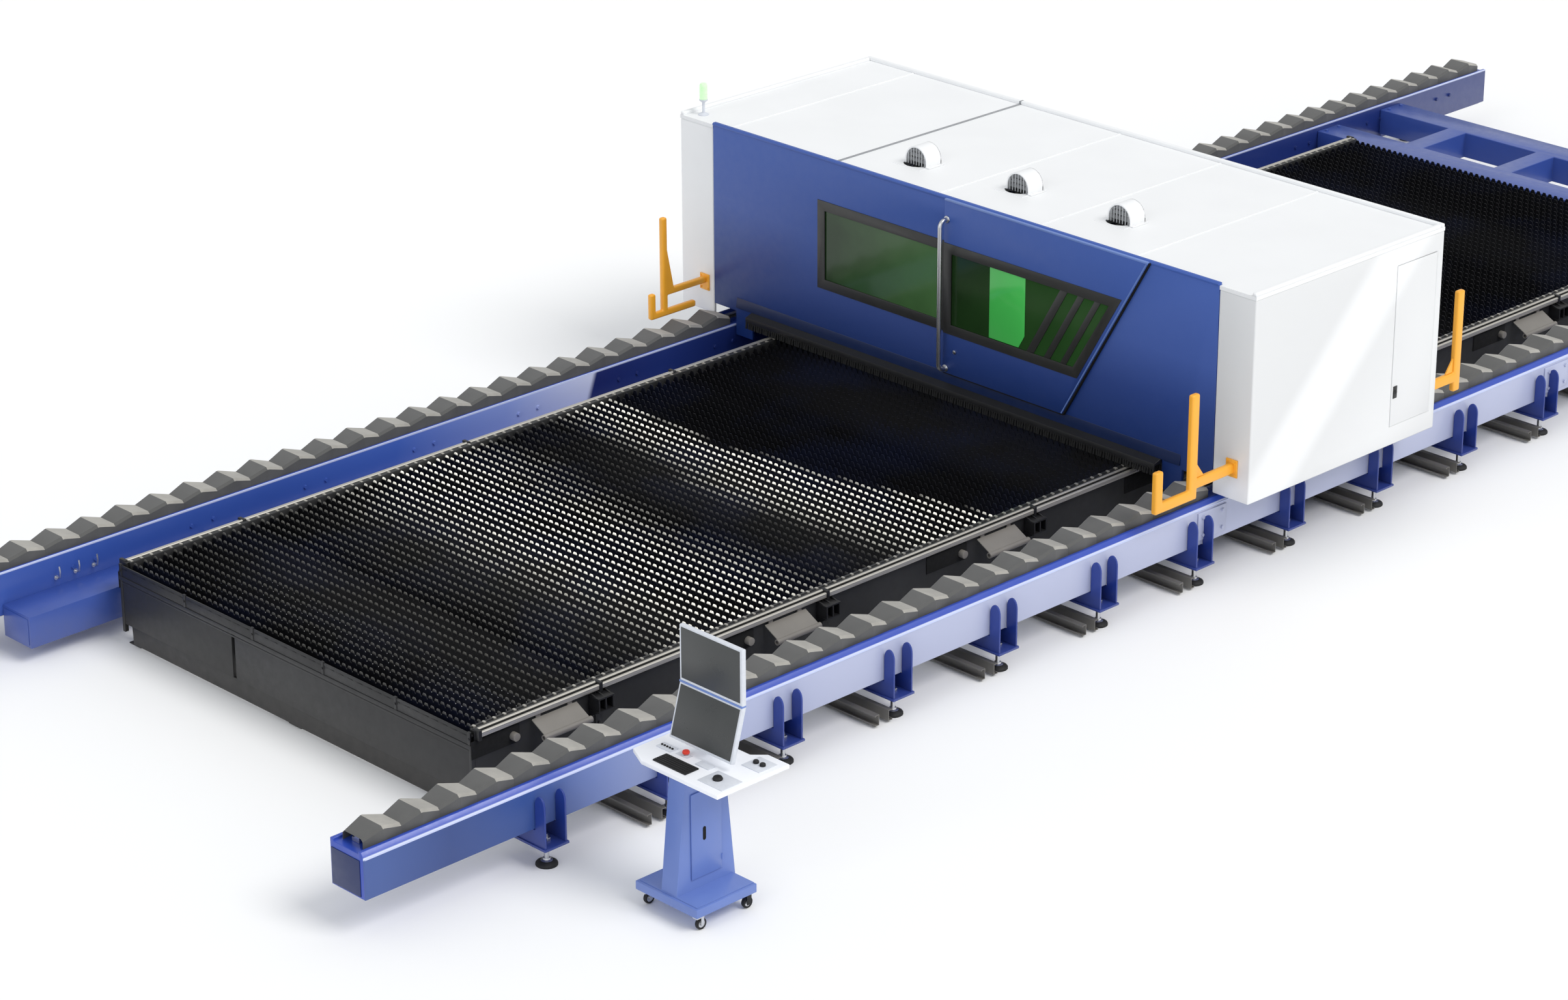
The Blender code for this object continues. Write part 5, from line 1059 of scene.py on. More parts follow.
def make_duct():
    low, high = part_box("exhaust_duct")

    def flanges(shape):
        for y in seams()[:-1]:
            for near in (y - 0.012, y + 0.002):
                block(shape, (low.x + 0.002, near, low.z - 0.012), (low.x + 0.34, near + 0.010, high.z + 0.012),
                    0.002)
        block(shape, (low.x + 0.02, low.y - 0.006, low.z + 0.02), (low.x + 0.308, low.y + 0.002, high.z - 0.02),
            0.003)

    softened("exhaust_duct", ["rail_blue"], 0.004, extra=flanges)

    def feet(shape):
        box_low, box_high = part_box("rear_frame")
        for y in (box_low.y + 0.15, box_high.y - 0.15):
            for x in (box_low.x + 0.004, box_high.x - 0.012):
                block(shape, (x, y - 0.14, box_low.z - 0.03), (x + 0.008, y + 0.14, box_low.z + 0.01), 0.002)
            for x in (box_low.x + 0.06, box_high.x - 0.06):
                for shift in (-0.09, 0.09):
                    hex_bolt(shape, (x, y + shift, box_high.z), "Z", 0.016)

    softened("rear_frame", ["rail_blue"], 0.006, extra=feet)


# ---------------------------------------------------------------- gantry


def make_running_gear():
    """Trucks, crossbeam, carriage, head, pinions, fans and skirts."""
    for hand, side in HANDS:
        node = f"{hand}_end_truck"
        low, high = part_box(node)

        def wipers(shape, low=low, high=high):
            for y in (low.y + 0.05, low.y + 0.25, high.y - 0.25, high.y - 0.05):
                block(shape, ((low.x + high.x) / 2 - 0.048, y - 0.006, low.z + 0.001),
                    ((low.x + high.x) / 2 + 0.048, y + 0.006, low.z + 0.036), 0.002)

        softened(node, ["graphite"], 0.006, extra=wipers)
        softened(f"{hand}_drive_pinion", ["bright_steel"], 0.001, segments=1)
    softened("crossbeam", ["graphite"], 0.004)

    def carriage(shape):
        low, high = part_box("x_carriage")
        for x in (-0.16, 0.16):
            for z in (low.z + 0.05, high.z - 0.05):
                hex_bolt(shape, (x, low.y, z), "Y", 0.012, -1)
        block(shape, (-0.13, low.y + 0.01, high.z - 0.002), (0.13, high.y - 0.005, high.z + 0.10), 0.012)

    softened("x_carriage", ["cover_white"], 0.008, extra=carriage)

    def head(shape):
        low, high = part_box("cutting_head")
        middle = low.y + 0.06
        for z in (low.z + 0.15, low.z + 0.23, low.z + 0.31):
            rod(shape, (0, middle, z), (0, middle, z + 0.014), 0.066, sides=28, rounding=0.003)
        rod(shape, (0, middle, high.z - 0.1), (0, middle, high.z - 0.01), 0.035, sides=20, rounding=0.004)

    softened("cutting_head", ["bright_steel"], 0.003, extra=head)
    for index in (1, 2, 3):
        softened(f"fan_impeller_{index}", ["black_paint"], 0.0015, segments=1)
    for node in ("front_skirt", "rear_skirt"):
        make_brush(node)


def bristles(shape, low, high, count, lean, turn, place, radii):
    """A row of tufts along X: how many, how far each leans, and where its top and foot are."""
    step = (high.x - low.x) / count
    (top_y, top), (foot_y, foot) = place
    for i in range(count):
        x = low.x + step * (i + 0.5)
        rod(shape, (x, top_y, top), (x + lean * math.sin(i * turn), foot_y, foot), *radii, sides=6)


def two_tone(shape, height):
    """The faces below a height take the piece's second finish."""
    for face in shape.faces:
        face.material_index = 0 if face.calc_center_median().z > height else 1


def make_brush(node):
    """A brush skirt: a clamping strip and a row of bristle tufts."""
    low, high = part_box(node)
    shape = bmesh.new()
    block(shape, (low.x, low.y - 0.004, high.z - 0.05), (high.x, high.y + 0.004, high.z), 0.003)
    middle = (low.y + high.y) / 2
    bristles(shape, low, high, 210, 0.004, 2.3, ((middle, high.z - 0.04), (middle, low.z)), (0.007, 0.0095))
    two_tone(shape, high.z - 0.051)
    piece(f"{node}_brush", shape, ["black_paint", "bristle"], "gantry", (node,))
    if node == "front_skirt":
        make_apron(low, high)


def make_apron(low, high):
    """The black ledge in front of the front brush, with a second row of bristles that hangs from it."""
    shape = bmesh.new()
    out, foot, shelf = low.y - 0.085, 0.660, 0.752
    root = low.y - 0.003
    outline = [(root, shelf + 0.028), (out, shelf), (out, shelf - 0.022), (root, shelf - 0.012)]
    plate(shape, "X", low.x, high.x, outline, 0.003, 1)
    block(shape, (low.x, out - 0.004, shelf - 0.05), (high.x, out + 0.004, shelf + 0.002), 0.003)
    bristles(shape, low, high, 180, 0.006, 1.7, ((out, shelf - 0.04), (out - 0.004, foot)), (0.008, 0.0105))
    two_tone(shape, shelf - 0.051)
    piece("front_apron", shape, ["black_paint", "bristle"], "gantry")


def make_covers():
    """End covers, service door with its lock, rear sheet with its ribs, screws and vents."""
    softened("left_end_cover", ["cover_white"], 0.014, segments=3)
    softened("right_end_cover", ["cover_side"], 0.012, segments=3)
    low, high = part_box("service_door")
    y, z = low.y + 0.04, 1.076
    shape = bmesh.new()
    rod(shape, (high.x - 0.004, y, z), (high.x + 0.010, y, z), 0.018, sides=20, rounding=0.003)
    block(shape, (high.x - 0.002, y - 0.024, z - 0.05), (high.x + 0.004, y + 0.024, z + 0.05), 0.003)
    block(shape, (high.x + 0.008, y - 0.003, z - 0.012), (high.x + 0.013, y + 0.003, z + 0.012), 0.001)
    piece("service_door_lock", shape, "graphite", "service_door")
    softened("service_door", ["cover_side"], 0.0015)

    def ribs(shape):
        low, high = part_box("rear_panel")
        bays = 5
        step = (high.x - low.x) / bays
        for i in range(1, bays):
            x = low.x + step * i
            block(shape, (x - 0.012, high.y - 0.002, low.z + 0.02), (x + 0.012, high.y + 0.008, high.z - 0.02),
                0.004)
        for i in range(bays):
            middle = low.x + step * (i + 0.5)
            for z in (low.z + 0.2, high.z - 0.2):
                for shift in (-0.42, 0.42):
                    rod(shape, (middle + shift, high.y - 0.002, z), (middle + shift, high.y + 0.006, z), 0.016,
                        sides=16, rounding=0.002)
            for row in range(6):
                z = 1.35 + row * 0.035
                block(shape, (middle - 0.2, high.y - 0.001, z), (middle + 0.2, high.y + 0.007, z + 0.014),
                    0.003)

    softened("rear_panel", ["cover_white"], 0.004, extra=ribs)


def glaze(node, finish):
    """Gives a pane, whose own mesh stays, its glass."""
    panes = frame["nodes"][node].data.materials
    panes.clear()
    panes.append(FINISHES[finish])


def slanted(settings, at_low, low, high, width):
    """A bar's outline between two heights that leans as the door's edge does."""
    lean = settings.slant * (high - low)
    return [(at_low, low), (at_low + width, low), (at_low + width + lean, high), (at_low + lean, high)]


def make_front(settings):
    """The front sheet with its folded lower strip in painted shade, and the fixed window's rim and pane."""
    low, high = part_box("front_panel")
    door_low, door_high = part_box("sliding_door")

    def fold(shape):
        face = low.y
        outline = [(face + 0.004, 0.858), (face - 0.003, 0.858), (face - 0.016, 0.776), (face - 0.012, 0.7705)]
        outline += [(face + 0.004, 0.7705)]
        before = set(shape.faces)
        plate(shape, "X", -2.40, 2.40, outline, 0.0015, 1)
        # Painted shade: the fold strip takes the dark blue of the fold's shadow line.
        for made in set(shape.faces) - before:
            made.material_index = 1
        block(shape, (low.x + 0.002, face - 0.010, high.z - 0.022),
            (high.x - 0.002, face + 0.004, high.z - 0.004), 0.004)

    softened("front_panel", ["sheet_blue", "sheet_fold_shade"], 0.004, extra=fold)
    pane_low, pane_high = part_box("fixed_window")
    rim = settings.frame_width
    shape = bmesh.new()
    outer = (pane_low.x - rim, pane_low.z - rim, door_low.x - 0.004, pane_high.z + rim)
    inner = (pane_low.x + 0.012, pane_low.z + 0.012, pane_high.x - 0.002, pane_high.z - 0.012)
    corners = [[(a, b), (c, b), (c, d), (a, d)] for a, b, c, d in (outer, inner)]
    ring(shape, "Y", low.y - settings.frame_proud, low.y + 0.004, *corners, rounding=0.002)
    piece("fixed_window_rim", shape, "window_rim", "gantry")
    glaze("fixed_window", "laser_glass")


def make_door(settings):
    """The sliding door: its sheet, window rim, panes with slanted bars, bar handle and lock."""
    low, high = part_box("sliding_door")
    pane_low, pane_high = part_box("door_window")
    softened("sliding_door", ["sheet_blue"], 0.003)
    rim, bottom, top = settings.frame_width, pane_low.z, pane_high.z
    foot = 1.31 + settings.slant * (bottom - 1.19) - 0.012
    lean = settings.slant * (top - bottom)
    inner = [(pane_low.x + 0.010, bottom + 0.010), (foot - 0.010, bottom + 0.010)]
    inner += [(foot + lean - 0.010, top - 0.010), (pane_low.x + 0.010, top - 0.010)]
    far = rim * 1.05
    outer = [(low.x + 0.003, bottom - rim), (foot + far - settings.slant * rim, bottom - rim)]
    outer += [(foot + lean + far + settings.slant * rim, top + rim), (low.x + 0.003, top + rim)]
    shape = bmesh.new()
    ring(shape, "Y", low.y - settings.frame_proud, low.y + 0.002, outer, inner, rounding=0.002)
    piece("door_window_rim", shape, "window_rim", "inspection_door")
    glaze("door_window", "door_glass")
    face = pane_low.y
    # The lit pane glows as painted light, though no lamp is behind it.
    left, right = settings.lit_left, settings.lit_left + settings.lit_width
    shape = bmesh.new()
    outline = [(left, bottom + 0.014), (right - 0.06, bottom + 0.014), (right, bottom + 0.12)]
    outline += [(right, top - 0.014), (left, top - 0.014)]
    plate(shape, "Y", face - 0.004, face - 0.0004, outline, 0.001)
    piece("lit_pane", shape, "lit_glass", "inspection_door")
    shape = bmesh.new()
    for at_low, width in ((right + 0.02, 0.075), (right + 0.20, 0.065), (right + 0.37, 0.06)):
        plate(shape, "Y", face - 0.006, face - 0.0004, slanted(settings, at_low, bottom, top, width), 0.0015)
    piece("door_slant_bars", shape, "window_rim", "inspection_door")
    make_door_edges(settings, low, high)
    make_handle(low)


def make_door_edges(settings, low, high):
    """A dark strip of painted shadow round the door's free edges, and a bright folded strip along its top and
    slanted edge as a painted highlight.
    """
    lean = settings.slant * (high.z - low.z)
    foot = high.x - lean
    # Painted shadow: dark strips along the door's slanted and lower edges.
    shape = bmesh.new()
    face, back = low.y + 0.004, high.y - 0.0002
    outline = [(foot - 0.002, low.z - 0.001), (foot + 0.013, low.z - 0.001)]
    outline += [(foot + 0.013 + lean, high.z), (foot - 0.002 + lean, high.z)]
    plate(shape, "Y", face, back, outline, 0.002, 1)
    under, over = low.z - 0.011, low.z + 0.001
    outline = [(low.x, under), (foot + 0.008, under), (foot + 0.010, over), (low.x, over)]
    plate(shape, "Y", face, back, outline, 0.002, 1)
    piece("door_edge_shadow", shape, "dark_void", "inspection_door")
    # Painted highlight: lighter blue strips along the door's top and slanted edge.
    shape = bmesh.new()
    block(shape, (low.x + 0.002, low.y - 0.003, high.z - 0.010), (high.x - 0.004, high.y, high.z + 0.006),
        0.003)
    foot_z, head_z, head = low.z + 0.004, high.z - 0.008, foot + lean
    outline = [(foot - 0.016, foot_z), (foot - 0.004, foot_z), (head - 0.010, head_z), (head - 0.022, head_z)]
    plate(shape, "Y", low.y - 0.0025, low.y + 0.002, outline, 0.001, 1)
    piece("door_top_highlight", shape, "blue_trim", "inspection_door")


def make_handle(door_low):
    """A brushed bar handle with a rosette at each end, and the lock below it."""
    low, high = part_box("door_handle")
    x, radius = (low.x + high.x) / 2, (high.x - low.x) / 2
    out, face, bend = low.y + radius, door_low.y, 0.05
    foot, head = low.z + radius, high.z - radius
    route = [(x, face - 0.001, foot), (x, out + bend + 0.005, foot)]
    route += [(x, out + bend - bend * math.sin(a), foot + bend - bend * math.cos(a))
              for a in (math.radians(15 * i) for i in range(1, 7))]
    route += [(x, out + bend - bend * math.cos(a), head - bend + bend * math.sin(a))
              for a in (math.radians(15 * i) for i in range(0, 7))]
    route += [(x, face - 0.001, head)]
    shape = bmesh.new()
    tube(shape, route, radius, 16)
    for z in (foot, head):
        rod(shape, (x, face - 0.0005, z), (x, face - 0.010, z), radius * 1.7, radius * 1.5, 24, 0.002)
    piece("door_bar_handle", shape, "bright_steel", "inspection_door", ("door_handle",))
    shape = bmesh.new()
    lock = (x + 0.10, 1.06)
    rod(shape, (lock[0], face - 0.012, lock[1]), (lock[0], face + 0.001, lock[1]), 0.016, sides=20,
        rounding=0.003)
    block(shape, (lock[0] - 0.002, face - 0.014, lock[1] - 0.009),
        (lock[0] + 0.002, face - 0.011, lock[1] + 0.009))
    piece("door_lock", shape, "bright_steel", "inspection_door")


def make_roof(settings):
    """The roof sheet in six bays with rounded rims, and three arched fan hoods over its fans."""
    low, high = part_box("front_panel")
    deck_low, deck_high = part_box("roof_cover")
    roof_top = high.z - 0.02
    shape = copied("roof_cover")
    geometry = list(shape.verts) + list(shape.edges) + list(shape.faces)
    cut = bmesh.ops.bisect_plane(shape, geom=geometry, plane_co=(0, 0, roof_top + 0.003), plane_no=(0, 0, 1),
        clear_outer=True)["geom_cut"]
    rims = [item for item in cut if isinstance(item, bmesh.types.BMEdge)]
    bmesh.ops.triangle_fill(shape, edges=rims, use_beauty=True, use_dissolve=False)
    bmesh.ops.recalc_face_normals(shape, faces=shape.faces)
    tube_radius = settings.rim / 2
    rear = deck_high.y - tube_radius
    front = deck_low.y
    for y0, y1, x0, x1 in (
        (rear - tube_radius, deck_high.y, deck_low.x, deck_high.x),
        (front, deck_high.y - settings.rim, deck_high.x - settings.rim, deck_high.x),
        (front, deck_high.y - settings.rim, deck_low.x, deck_low.x + settings.rim),
    ):
        block(shape, (x0, y0, roof_top - 0.004), (x1, y1, roof_top + 0.028), 0.012, 3)
    for x in (-2.51, -0.18, 0.88, 1.86):
        block(shape, (x - 0.009, front + 0.05, roof_top - 0.001), (x + 0.009, rear - 0.02, roof_top + 0.006),
            0.002)
    sheet = piece("roof_sheet", shape, "roof_white", "gantry", ("roof_cover",))
    for face in sheet.data.polygons:
        if abs(face.normal.z) > 0.999:
            face.use_smooth = False
    shape = bmesh.new()
    block(shape, (-1.297, front + 0.045, roof_top - 0.001), (-1.273, deck_high.y + 0.001, roof_top + 0.006),
        0.002)
    block(shape, (-1.297, rear - 0.024, roof_top), (-1.273, deck_high.y + 0.001, roof_top + 0.0295), 0.008, 3)
    piece("roof_joint_strip", shape, "cover_seam", "gantry")
    for index in (1, 2, 3):
        make_hood(index, settings, roof_top)


def make_hood(index, settings, roof_top):
    """An arched cowl, open to the front, with a flange, a louvre of three blades and a wire guard."""
    fan_low, fan_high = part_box(f"fan_impeller_{index}")
    middle = (fan_low + fan_high) / 2 + Vector((0.03, 0.02, 0.0))
    width, depth, height = 0.235, 0.17, 0.155
    wall = settings.hood_arch
    rise = height - width / 2
    base = roof_top + 0.003

    def arch(inset):
        half = width / 2 - inset
        curve = arc((middle.x, base + rise), half, 0, 180, 20)
        return [(middle.x + half, base), *curve, (middle.x - half, base)]

    outer, inner = arch(0.0), arch(wall)
    shape = bmesh.new()
    front, back = middle.y - depth / 2, middle.y + depth / 2
    plate(shape, "Y", front, back, outer + inner[::-1], 0.0015, 1)
    plate(shape, "Y", back - wall, back, outer, 0.002, 1)
    for side in (-1, 1):
        x = middle.x + side * (width / 2 + 0.012)
        block(shape, (x - 0.016, front, base - 0.002), (x + 0.016, back, base + 0.006), 0.002)
        for y in (front + 0.04, back - 0.04):
            hex_bolt(shape, (x + side * 0.003, y, base + 0.006), "Z", 0.007)
    piece(f"fan_hood_{index}", shape, "cover_white", "gantry")
    shape = bmesh.new()
    for i in range(3):
        z = base + 0.03 + i * 0.042
        half = math.sqrt(max(0.0, (width / 2 - wall) ** 2 - max(0.0, z - base - rise) ** 2)) - 0.001
        tilt = Matrix.Rotation(math.radians(35), 4, "X")
        block(shape, (middle.x - half, front + 0.02, z - 0.002), (middle.x + half, front + 0.05, z + 0.002),
            0.001, 1, tilt)
    for i in range(-3, 4):
        x = middle.x + i * 0.029
        half = math.sqrt((width / 2 - wall) ** 2 - (i * 0.029) ** 2)
        rod(shape, (x, front + 0.008, base), (x, front + 0.008, base + rise + half - 0.002), 0.005, sides=6)
    piece(f"fan_grille_{index}", shape, "fan_grey", "gantry")


def make_beacon():
    """The signal lamp: flange, stem, clamp, lens with rings, and cap."""
    low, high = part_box("beacon")
    middle = (low + high) / 2
    radius = (high.x - low.x) / 2
    shape = bmesh.new()
    stem, lens = 0.012, radius * 0.74
    bottom, top = low.z, high.z
    turned(shape, (middle.x, middle.y, 0.0), ((0.0, bottom), (radius, bottom), (radius, bottom + 0.006),
        (radius * 0.5, bottom + 0.016), (stem, bottom + 0.02), (stem, top - 0.165), (lens * 0.8, top - 0.155),
        (lens * 1.04, top - 0.148), (lens * 1.04, top - 0.136), (0.0, top - 0.136)))
    piece("beacon_stem", shape, "bezel", "gantry", ("beacon",))
    shape = bmesh.new()
    profile = [(0.0, top - 0.135)]
    ribs = 9
    for i in range(ribs):
        z = top - 0.135 + 0.12 * i / ribs
        profile += [(lens, z), (lens, z + 0.009), (lens * 0.93, z + 0.011)]
    profile += [(lens * 0.93, top - 0.014), (lens * 0.8, top - 0.004), (0.0, top)]
    turned(shape, (middle.x, middle.y, 0.0), profile)
    piece("beacon_lens_ribbed", shape, "lamp_lens", "gantry")


def make_trip_bars():
    """Amber trip bars with rounded edges, each bolted to the cover through a flange."""
    for end in ("front", "rear"):
        for hand in ("left", "right"):
            node = f"bumper_{end}_{hand}"
            low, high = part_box(node)
            face = high.y if end == "front" else low.y
            out = -1 if end == "front" else 1

            def flange(shape, node=node, low=low, high=high, face=face, out=out):
                front = face + out * 0.012
                block(shape, (low.x - 0.03, face, 0.83), (high.x + 0.03, front, 0.97), 0.004)
                for z in (0.85, 0.95):
                    for x in (low.x - 0.015, high.x + 0.015):
                        hex_bolt(shape, (x, front, z), "Y", 0.008, out)
                if node == "bumper_front_left":
                    return
                post = face + out * 0.42
                outline = [(post - out * 0.002, 0.942), (post - out * 0.09, 0.942), (post - out * 0.002, 1.06)]
                plate(shape, "X", low.x + 0.018, high.x - 0.018, outline, 0.002, 1)

            softened(node, ["amber"], 0.016, segments=4, extra=flange)


# ---------------------------------------------------------------- console


def make_console():
    """Cabinet, door with its slot handle, tray with keyboard and controls, twin screens, casters."""
    low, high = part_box("console_cabinet")

    softened("console_cabinet", ["console_blue", "rubber"], 0.008, segments=3, pick=lambda middle,
        face: 1 if middle.z < 0.105 else 0)
    door_low, door_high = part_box("console_door")

    def door_fittings(shape):
        for z in (door_low.z + 0.08, door_high.z - 0.08):
            rod(shape, (door_high.x, door_high.y + 0.002, z - 0.02),
                (door_high.x, door_high.y + 0.002, z + 0.02), 0.005, sides=10)

    softened("console_door", ["console_blue"], 0.003, extra=door_fittings)
    # A dark plate of painted shade stands for the slot handle's recess.
    shape = bmesh.new()
    slot_y, slot_z = door_low.y + 0.11, 0.55
    ends = arc((slot_y, slot_z + 0.035), 0.013, 0, 180, 8) + arc((slot_y, slot_z - 0.035), 0.013, 180, 360, 8)
    plate(shape, "X", door_high.x - 0.001, door_high.x + 0.0015, ends)
    piece("console_slot_handle", shape, "dark_void", "console_door")
    softened("console_tray", ["tray_white"], 0.006, segments=3)
    shape = bmesh.new()
    block(shape, (low.x + 0.02, low.y + 0.02, 0.168), (high.x - 0.02, high.y - 0.02, 0.176), 0.003)
    piece("console_base_rim", shape, "console_blue", "console")
    make_tray()
    make_screens()
    make_casters()


def make_tray():
    """The worktop with its keyboard, control plates, buttons, trackball and emergency stop."""
    low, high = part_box("console_tray")
    x, front = (low.x + high.x) / 2 - 0.015, low.y
    top = 1.02
    shape = bmesh.new()
    keys_low, keys_high = Vector((x - 0.20, front + 0.05, top)), Vector((x + 0.10, front + 0.17, top))
    block(shape, (*keys_low.xy, top - 0.001), (*keys_high.xy, top + 0.010), 0.004)
    columns, rows = 14, 5
    for i in range(columns):
        for j in range(rows):
            kx = keys_low.x + 0.008 + i * 0.0205
            ky = keys_low.y + 0.008 + j * 0.0212
            block(shape, (kx, ky, top + 0.008), (kx + 0.0175, ky + 0.018, top + 0.0145), 0.0015, 1)
    piece("keyboard", shape, "rubber", "console")
    shape = bmesh.new()
    stop_low, stop_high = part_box("estop_button")
    middle = (stop_low + stop_high) / 2
    radius = (stop_high.x - stop_low.x) / 2
    for a, b, c, d in ((-0.33, 0.20, -0.20, 0.27), (-0.17, 0.215, -0.06, 0.27), (0.03, 0.20, 0.15, 0.26)):
        under_button = x + a < middle.x + radius and x + c > middle.x - radius
        height = 0.0015 if under_button else 0.008
        block(shape, (x + a, front + b, top - 0.001), (x + c, front + d, top + height), 0.0012)
    collar = radius * 0.55 + 0.001
    turned(shape, (middle.x, middle.y, top), ((collar, 0.0), (radius * 0.85, 0.0), (radius * 0.8, 0.006),
        (collar, 0.006), (collar, 0.0)), steps=24)
    block(shape, (x + 0.20, front + 0.06, top - 0.001), (x + 0.42, front + 0.24, top + 0.006), 0.003)
    block(shape, (x + 0.24, front + 0.40, top - 0.001), (x + 0.40, front + 0.56, top + 0.006), 0.003)
    piece("control_plates", shape, "bezel", "console")
    shape = bmesh.new()
    for i in range(5):
        place = (x - 0.31 + i * 0.024, front + 0.235, top + 0.006)
        rod(shape, place, (place[0], place[1], top + 0.016), 0.008, 0.007, 16, 0.0015)
    turned(shape, (x + 0.29, front + 0.15, top + 0.005),
        ((0.0, 0.0), (0.032, 0.0), (0.034, 0.008), (0.026, 0.022), (0.012, 0.028), (0.0, 0.029)))
    for shift in (-0.03, 0.03):
        turned(shape, (x + 0.32 + shift, front + 0.48, top + 0.005),
            ((0.0, 0.0), (0.02, 0.0), (0.02, 0.014), (0.015, 0.02), (0.0, 0.02)), steps=20)
    piece("control_buttons", shape, "rubber", "console")
    shape = bmesh.new()
    turned(shape, (middle.x, middle.y, 0.0), ((0.0, stop_low.z + 0.009), (radius * 0.55, stop_low.z + 0.009),
        (radius * 0.55, stop_high.z - 0.022), (radius * 0.96, stop_high.z - 0.02),
        (radius, stop_high.z - 0.012), (radius * 0.86, stop_high.z - 0.003), (radius * 0.4, stop_high.z),
        (0.0, stop_high.z)), steps=28)
    piece("estop_mushroom", shape, "stop_red", "estop", ("estop_button",))


def make_screens():
    """Two displays in light bezels on one arm."""
    low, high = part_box("monitor_stack")
    softened("monitor_stack", ["bezel"], 0.006, segments=3)
    half = (high.x - low.x) / 2
    x = (low.x + high.x) / 2
    joint, lean_low = 1.44, Vector((x, -7.29, 1.08))
    face = -7.19
    shape = bmesh.new()
    block(shape, (x - half + 0.016, face - 0.0018, joint + 0.024),
        (x + half - 0.02, face + 0.004, high.z - 0.014), 0.0015)
    run = Vector((0, face - lean_low.y, joint - lean_low.z))
    tilt = math.atan2(-run.y, run.z)
    middle = lean_low + run / 2
    size = Vector((half - 0.016, 0.003, run.length / 2 - 0.018))
    block(shape, middle - size, middle + size, 0.0015, 2, Matrix.Rotation(tilt, 4, "X"))
    piece("screen_glasses", shape, "screen_glass", "screens")
    shape = bmesh.new()
    block(shape, (x - half - 0.001, face - 0.006, joint - 0.006),
        (x + half + 0.001, face + 0.034, joint + 0.008), 0.003)
    piece("screen_joint_trim", shape, "blue_trim", "screens")


def make_casters():
    """Forks, and wheels with a tread of their own."""
    for index in (1, 2):
        softened(f"caster_fork_{index}", ["bright_steel"], 0.0012, segments=1)
    for index in (1, 2, 3, 4):
        low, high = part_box(f"caster_wheel_{index}")
        middle = (low + high) / 2
        radius, half = (high.z - low.z) / 2, (high.x - low.x) / 2
        shape = bmesh.new()
        tread = ((0.0, -half), (radius * 0.3, -half), (radius * 0.34, -half * 0.7),
            (radius * 0.66, -half * 0.7), (radius * 0.72, -half * 0.92), (radius * 0.93, -half * 0.92),
            (radius, -half * 0.5))
        profile = [*tread, *[(r, -h) for r, h in reversed(tread)]]
        turned(shape, middle, profile, "X", 32)
        for face in shape.faces:
            offset = face.calc_center_median() - middle
            face.material_index = 1 if math.hypot(offset.y, offset.z) < radius * 0.64 else 0
        node = f"caster_wheel_{index}"
        piece(f"caster_tyre_{index}", shape, ["rubber", "bright_steel"], BODY_OF[node], (node,))


# ---------------------------------------------------------------- stage


def make_stage(settings):
    shape = bmesh.new()
    bmesh.ops.create_grid(shape, x_segments=2, y_segments=2, size=settings.floor / 2)
    mesh = bpy.data.meshes.new("floor")
    shape.to_mesh(mesh)
    shape.free()
    floor = bpy.data.objects.new("floor", mesh)
    floor.location = (0, 0, -0.0005)
    bpy.context.scene.collection.objects.link(floor)
    paint = Finish("floor_paint", roughness=0.8, specular_ior_level=0.2, base_color=(0.97, 0.972, 0.975, 1.0))
    mesh.materials.append(paint.material)
    world = bpy.data.worlds.new("studio")
    bpy.context.scene.world = world
    world.use_nodes = True
    background = world.node_tree.nodes["Background"]
    background.inputs["Color"].default_value = (0.96, 0.98, 1.0, 1.0)
    background.inputs["Strength"].default_value = settings.sky
    lights = (("key", (24.0, 6.0, 29.0), (0.0, 0.0, 0.5), settings.key, 28.0, (1.0, 0.985, 0.96)),
        ("fill", (6.0, -34.0, 16.0), (0.0, -2.0, 0.8), settings.fill, 40.0, (0.93, 0.96, 1.0)))
    for name, place, target, strength, spread, tint in lights:
        lamp = bpy.data.lights.new(name, "SUN")
        lamp.energy = strength
        lamp.angle = math.radians(spread)
        lamp.color = tint
        made = bpy.data.objects.new(name, lamp)
        made.location = place
        aim = Vector(target) - Vector(place)
        made.rotation_euler = aim.to_track_quat("-Z", "Y").to_euler()
        bpy.context.scene.collection.objects.link(made)
    camera = bpy.data.cameras.new("camera")
    camera.lens = settings.lens
    camera.sensor_width = 36.0
    camera.shift_x, camera.shift_y = -0.00071, -0.00578
    camera.clip_end = 500.0
    made = bpy.data.objects.new("camera", camera)
    made.location = (21.314, -23.4875, 12.811)
    made.rotation_euler = [math.radians(angle) for angle in (67.282, 0.151, 45.787)]
    bpy.context.scene.collection.objects.link(made)
    bpy.context.scene.camera = made
    bpy.context.scene.view_settings.view_transform = "Standard"


# ---------------------------------------------------------------- operators


class CUTTER_OT_finishes(bpy.types.Operator):
    """Make the paints, steels, cloths and plastics"""

    bl_idname = "cutter.finishes"
    bl_label = "Finishes"

    def execute(self, context):
        make_finishes(context.scene.cutter_paint)
        return {"FINISHED"}


class CUTTER_OT_rails(bpy.types.Operator):
    """Build the rail beams, guide rails and hooks"""

    bl_idname = "cutter.rails"
    bl_label = "Rail beams"

    def execute(self, context):
        make_beams()
        make_guides()
        return {"FINISHED"}


class CUTTER_OT_feet(bpy.types.Operator):
    """Build the levelling feet under both beams"""

    bl_idname = "cutter.feet"
    bl_label = "Feet"

    def execute(self, context):
        make_feet(context.scene.cutter_feet)
        return {"FINISHED"}


class CUTTER_OT_bellows(bpy.types.Operator):
    """Build the folded bellows over the guide rails"""

    bl_idname = "cutter.bellows"
    bl_label = "Bellows"

    def execute(self, context):
        make_bellows(context.scene.cutter_bellows)
        return {"FINISHED"}


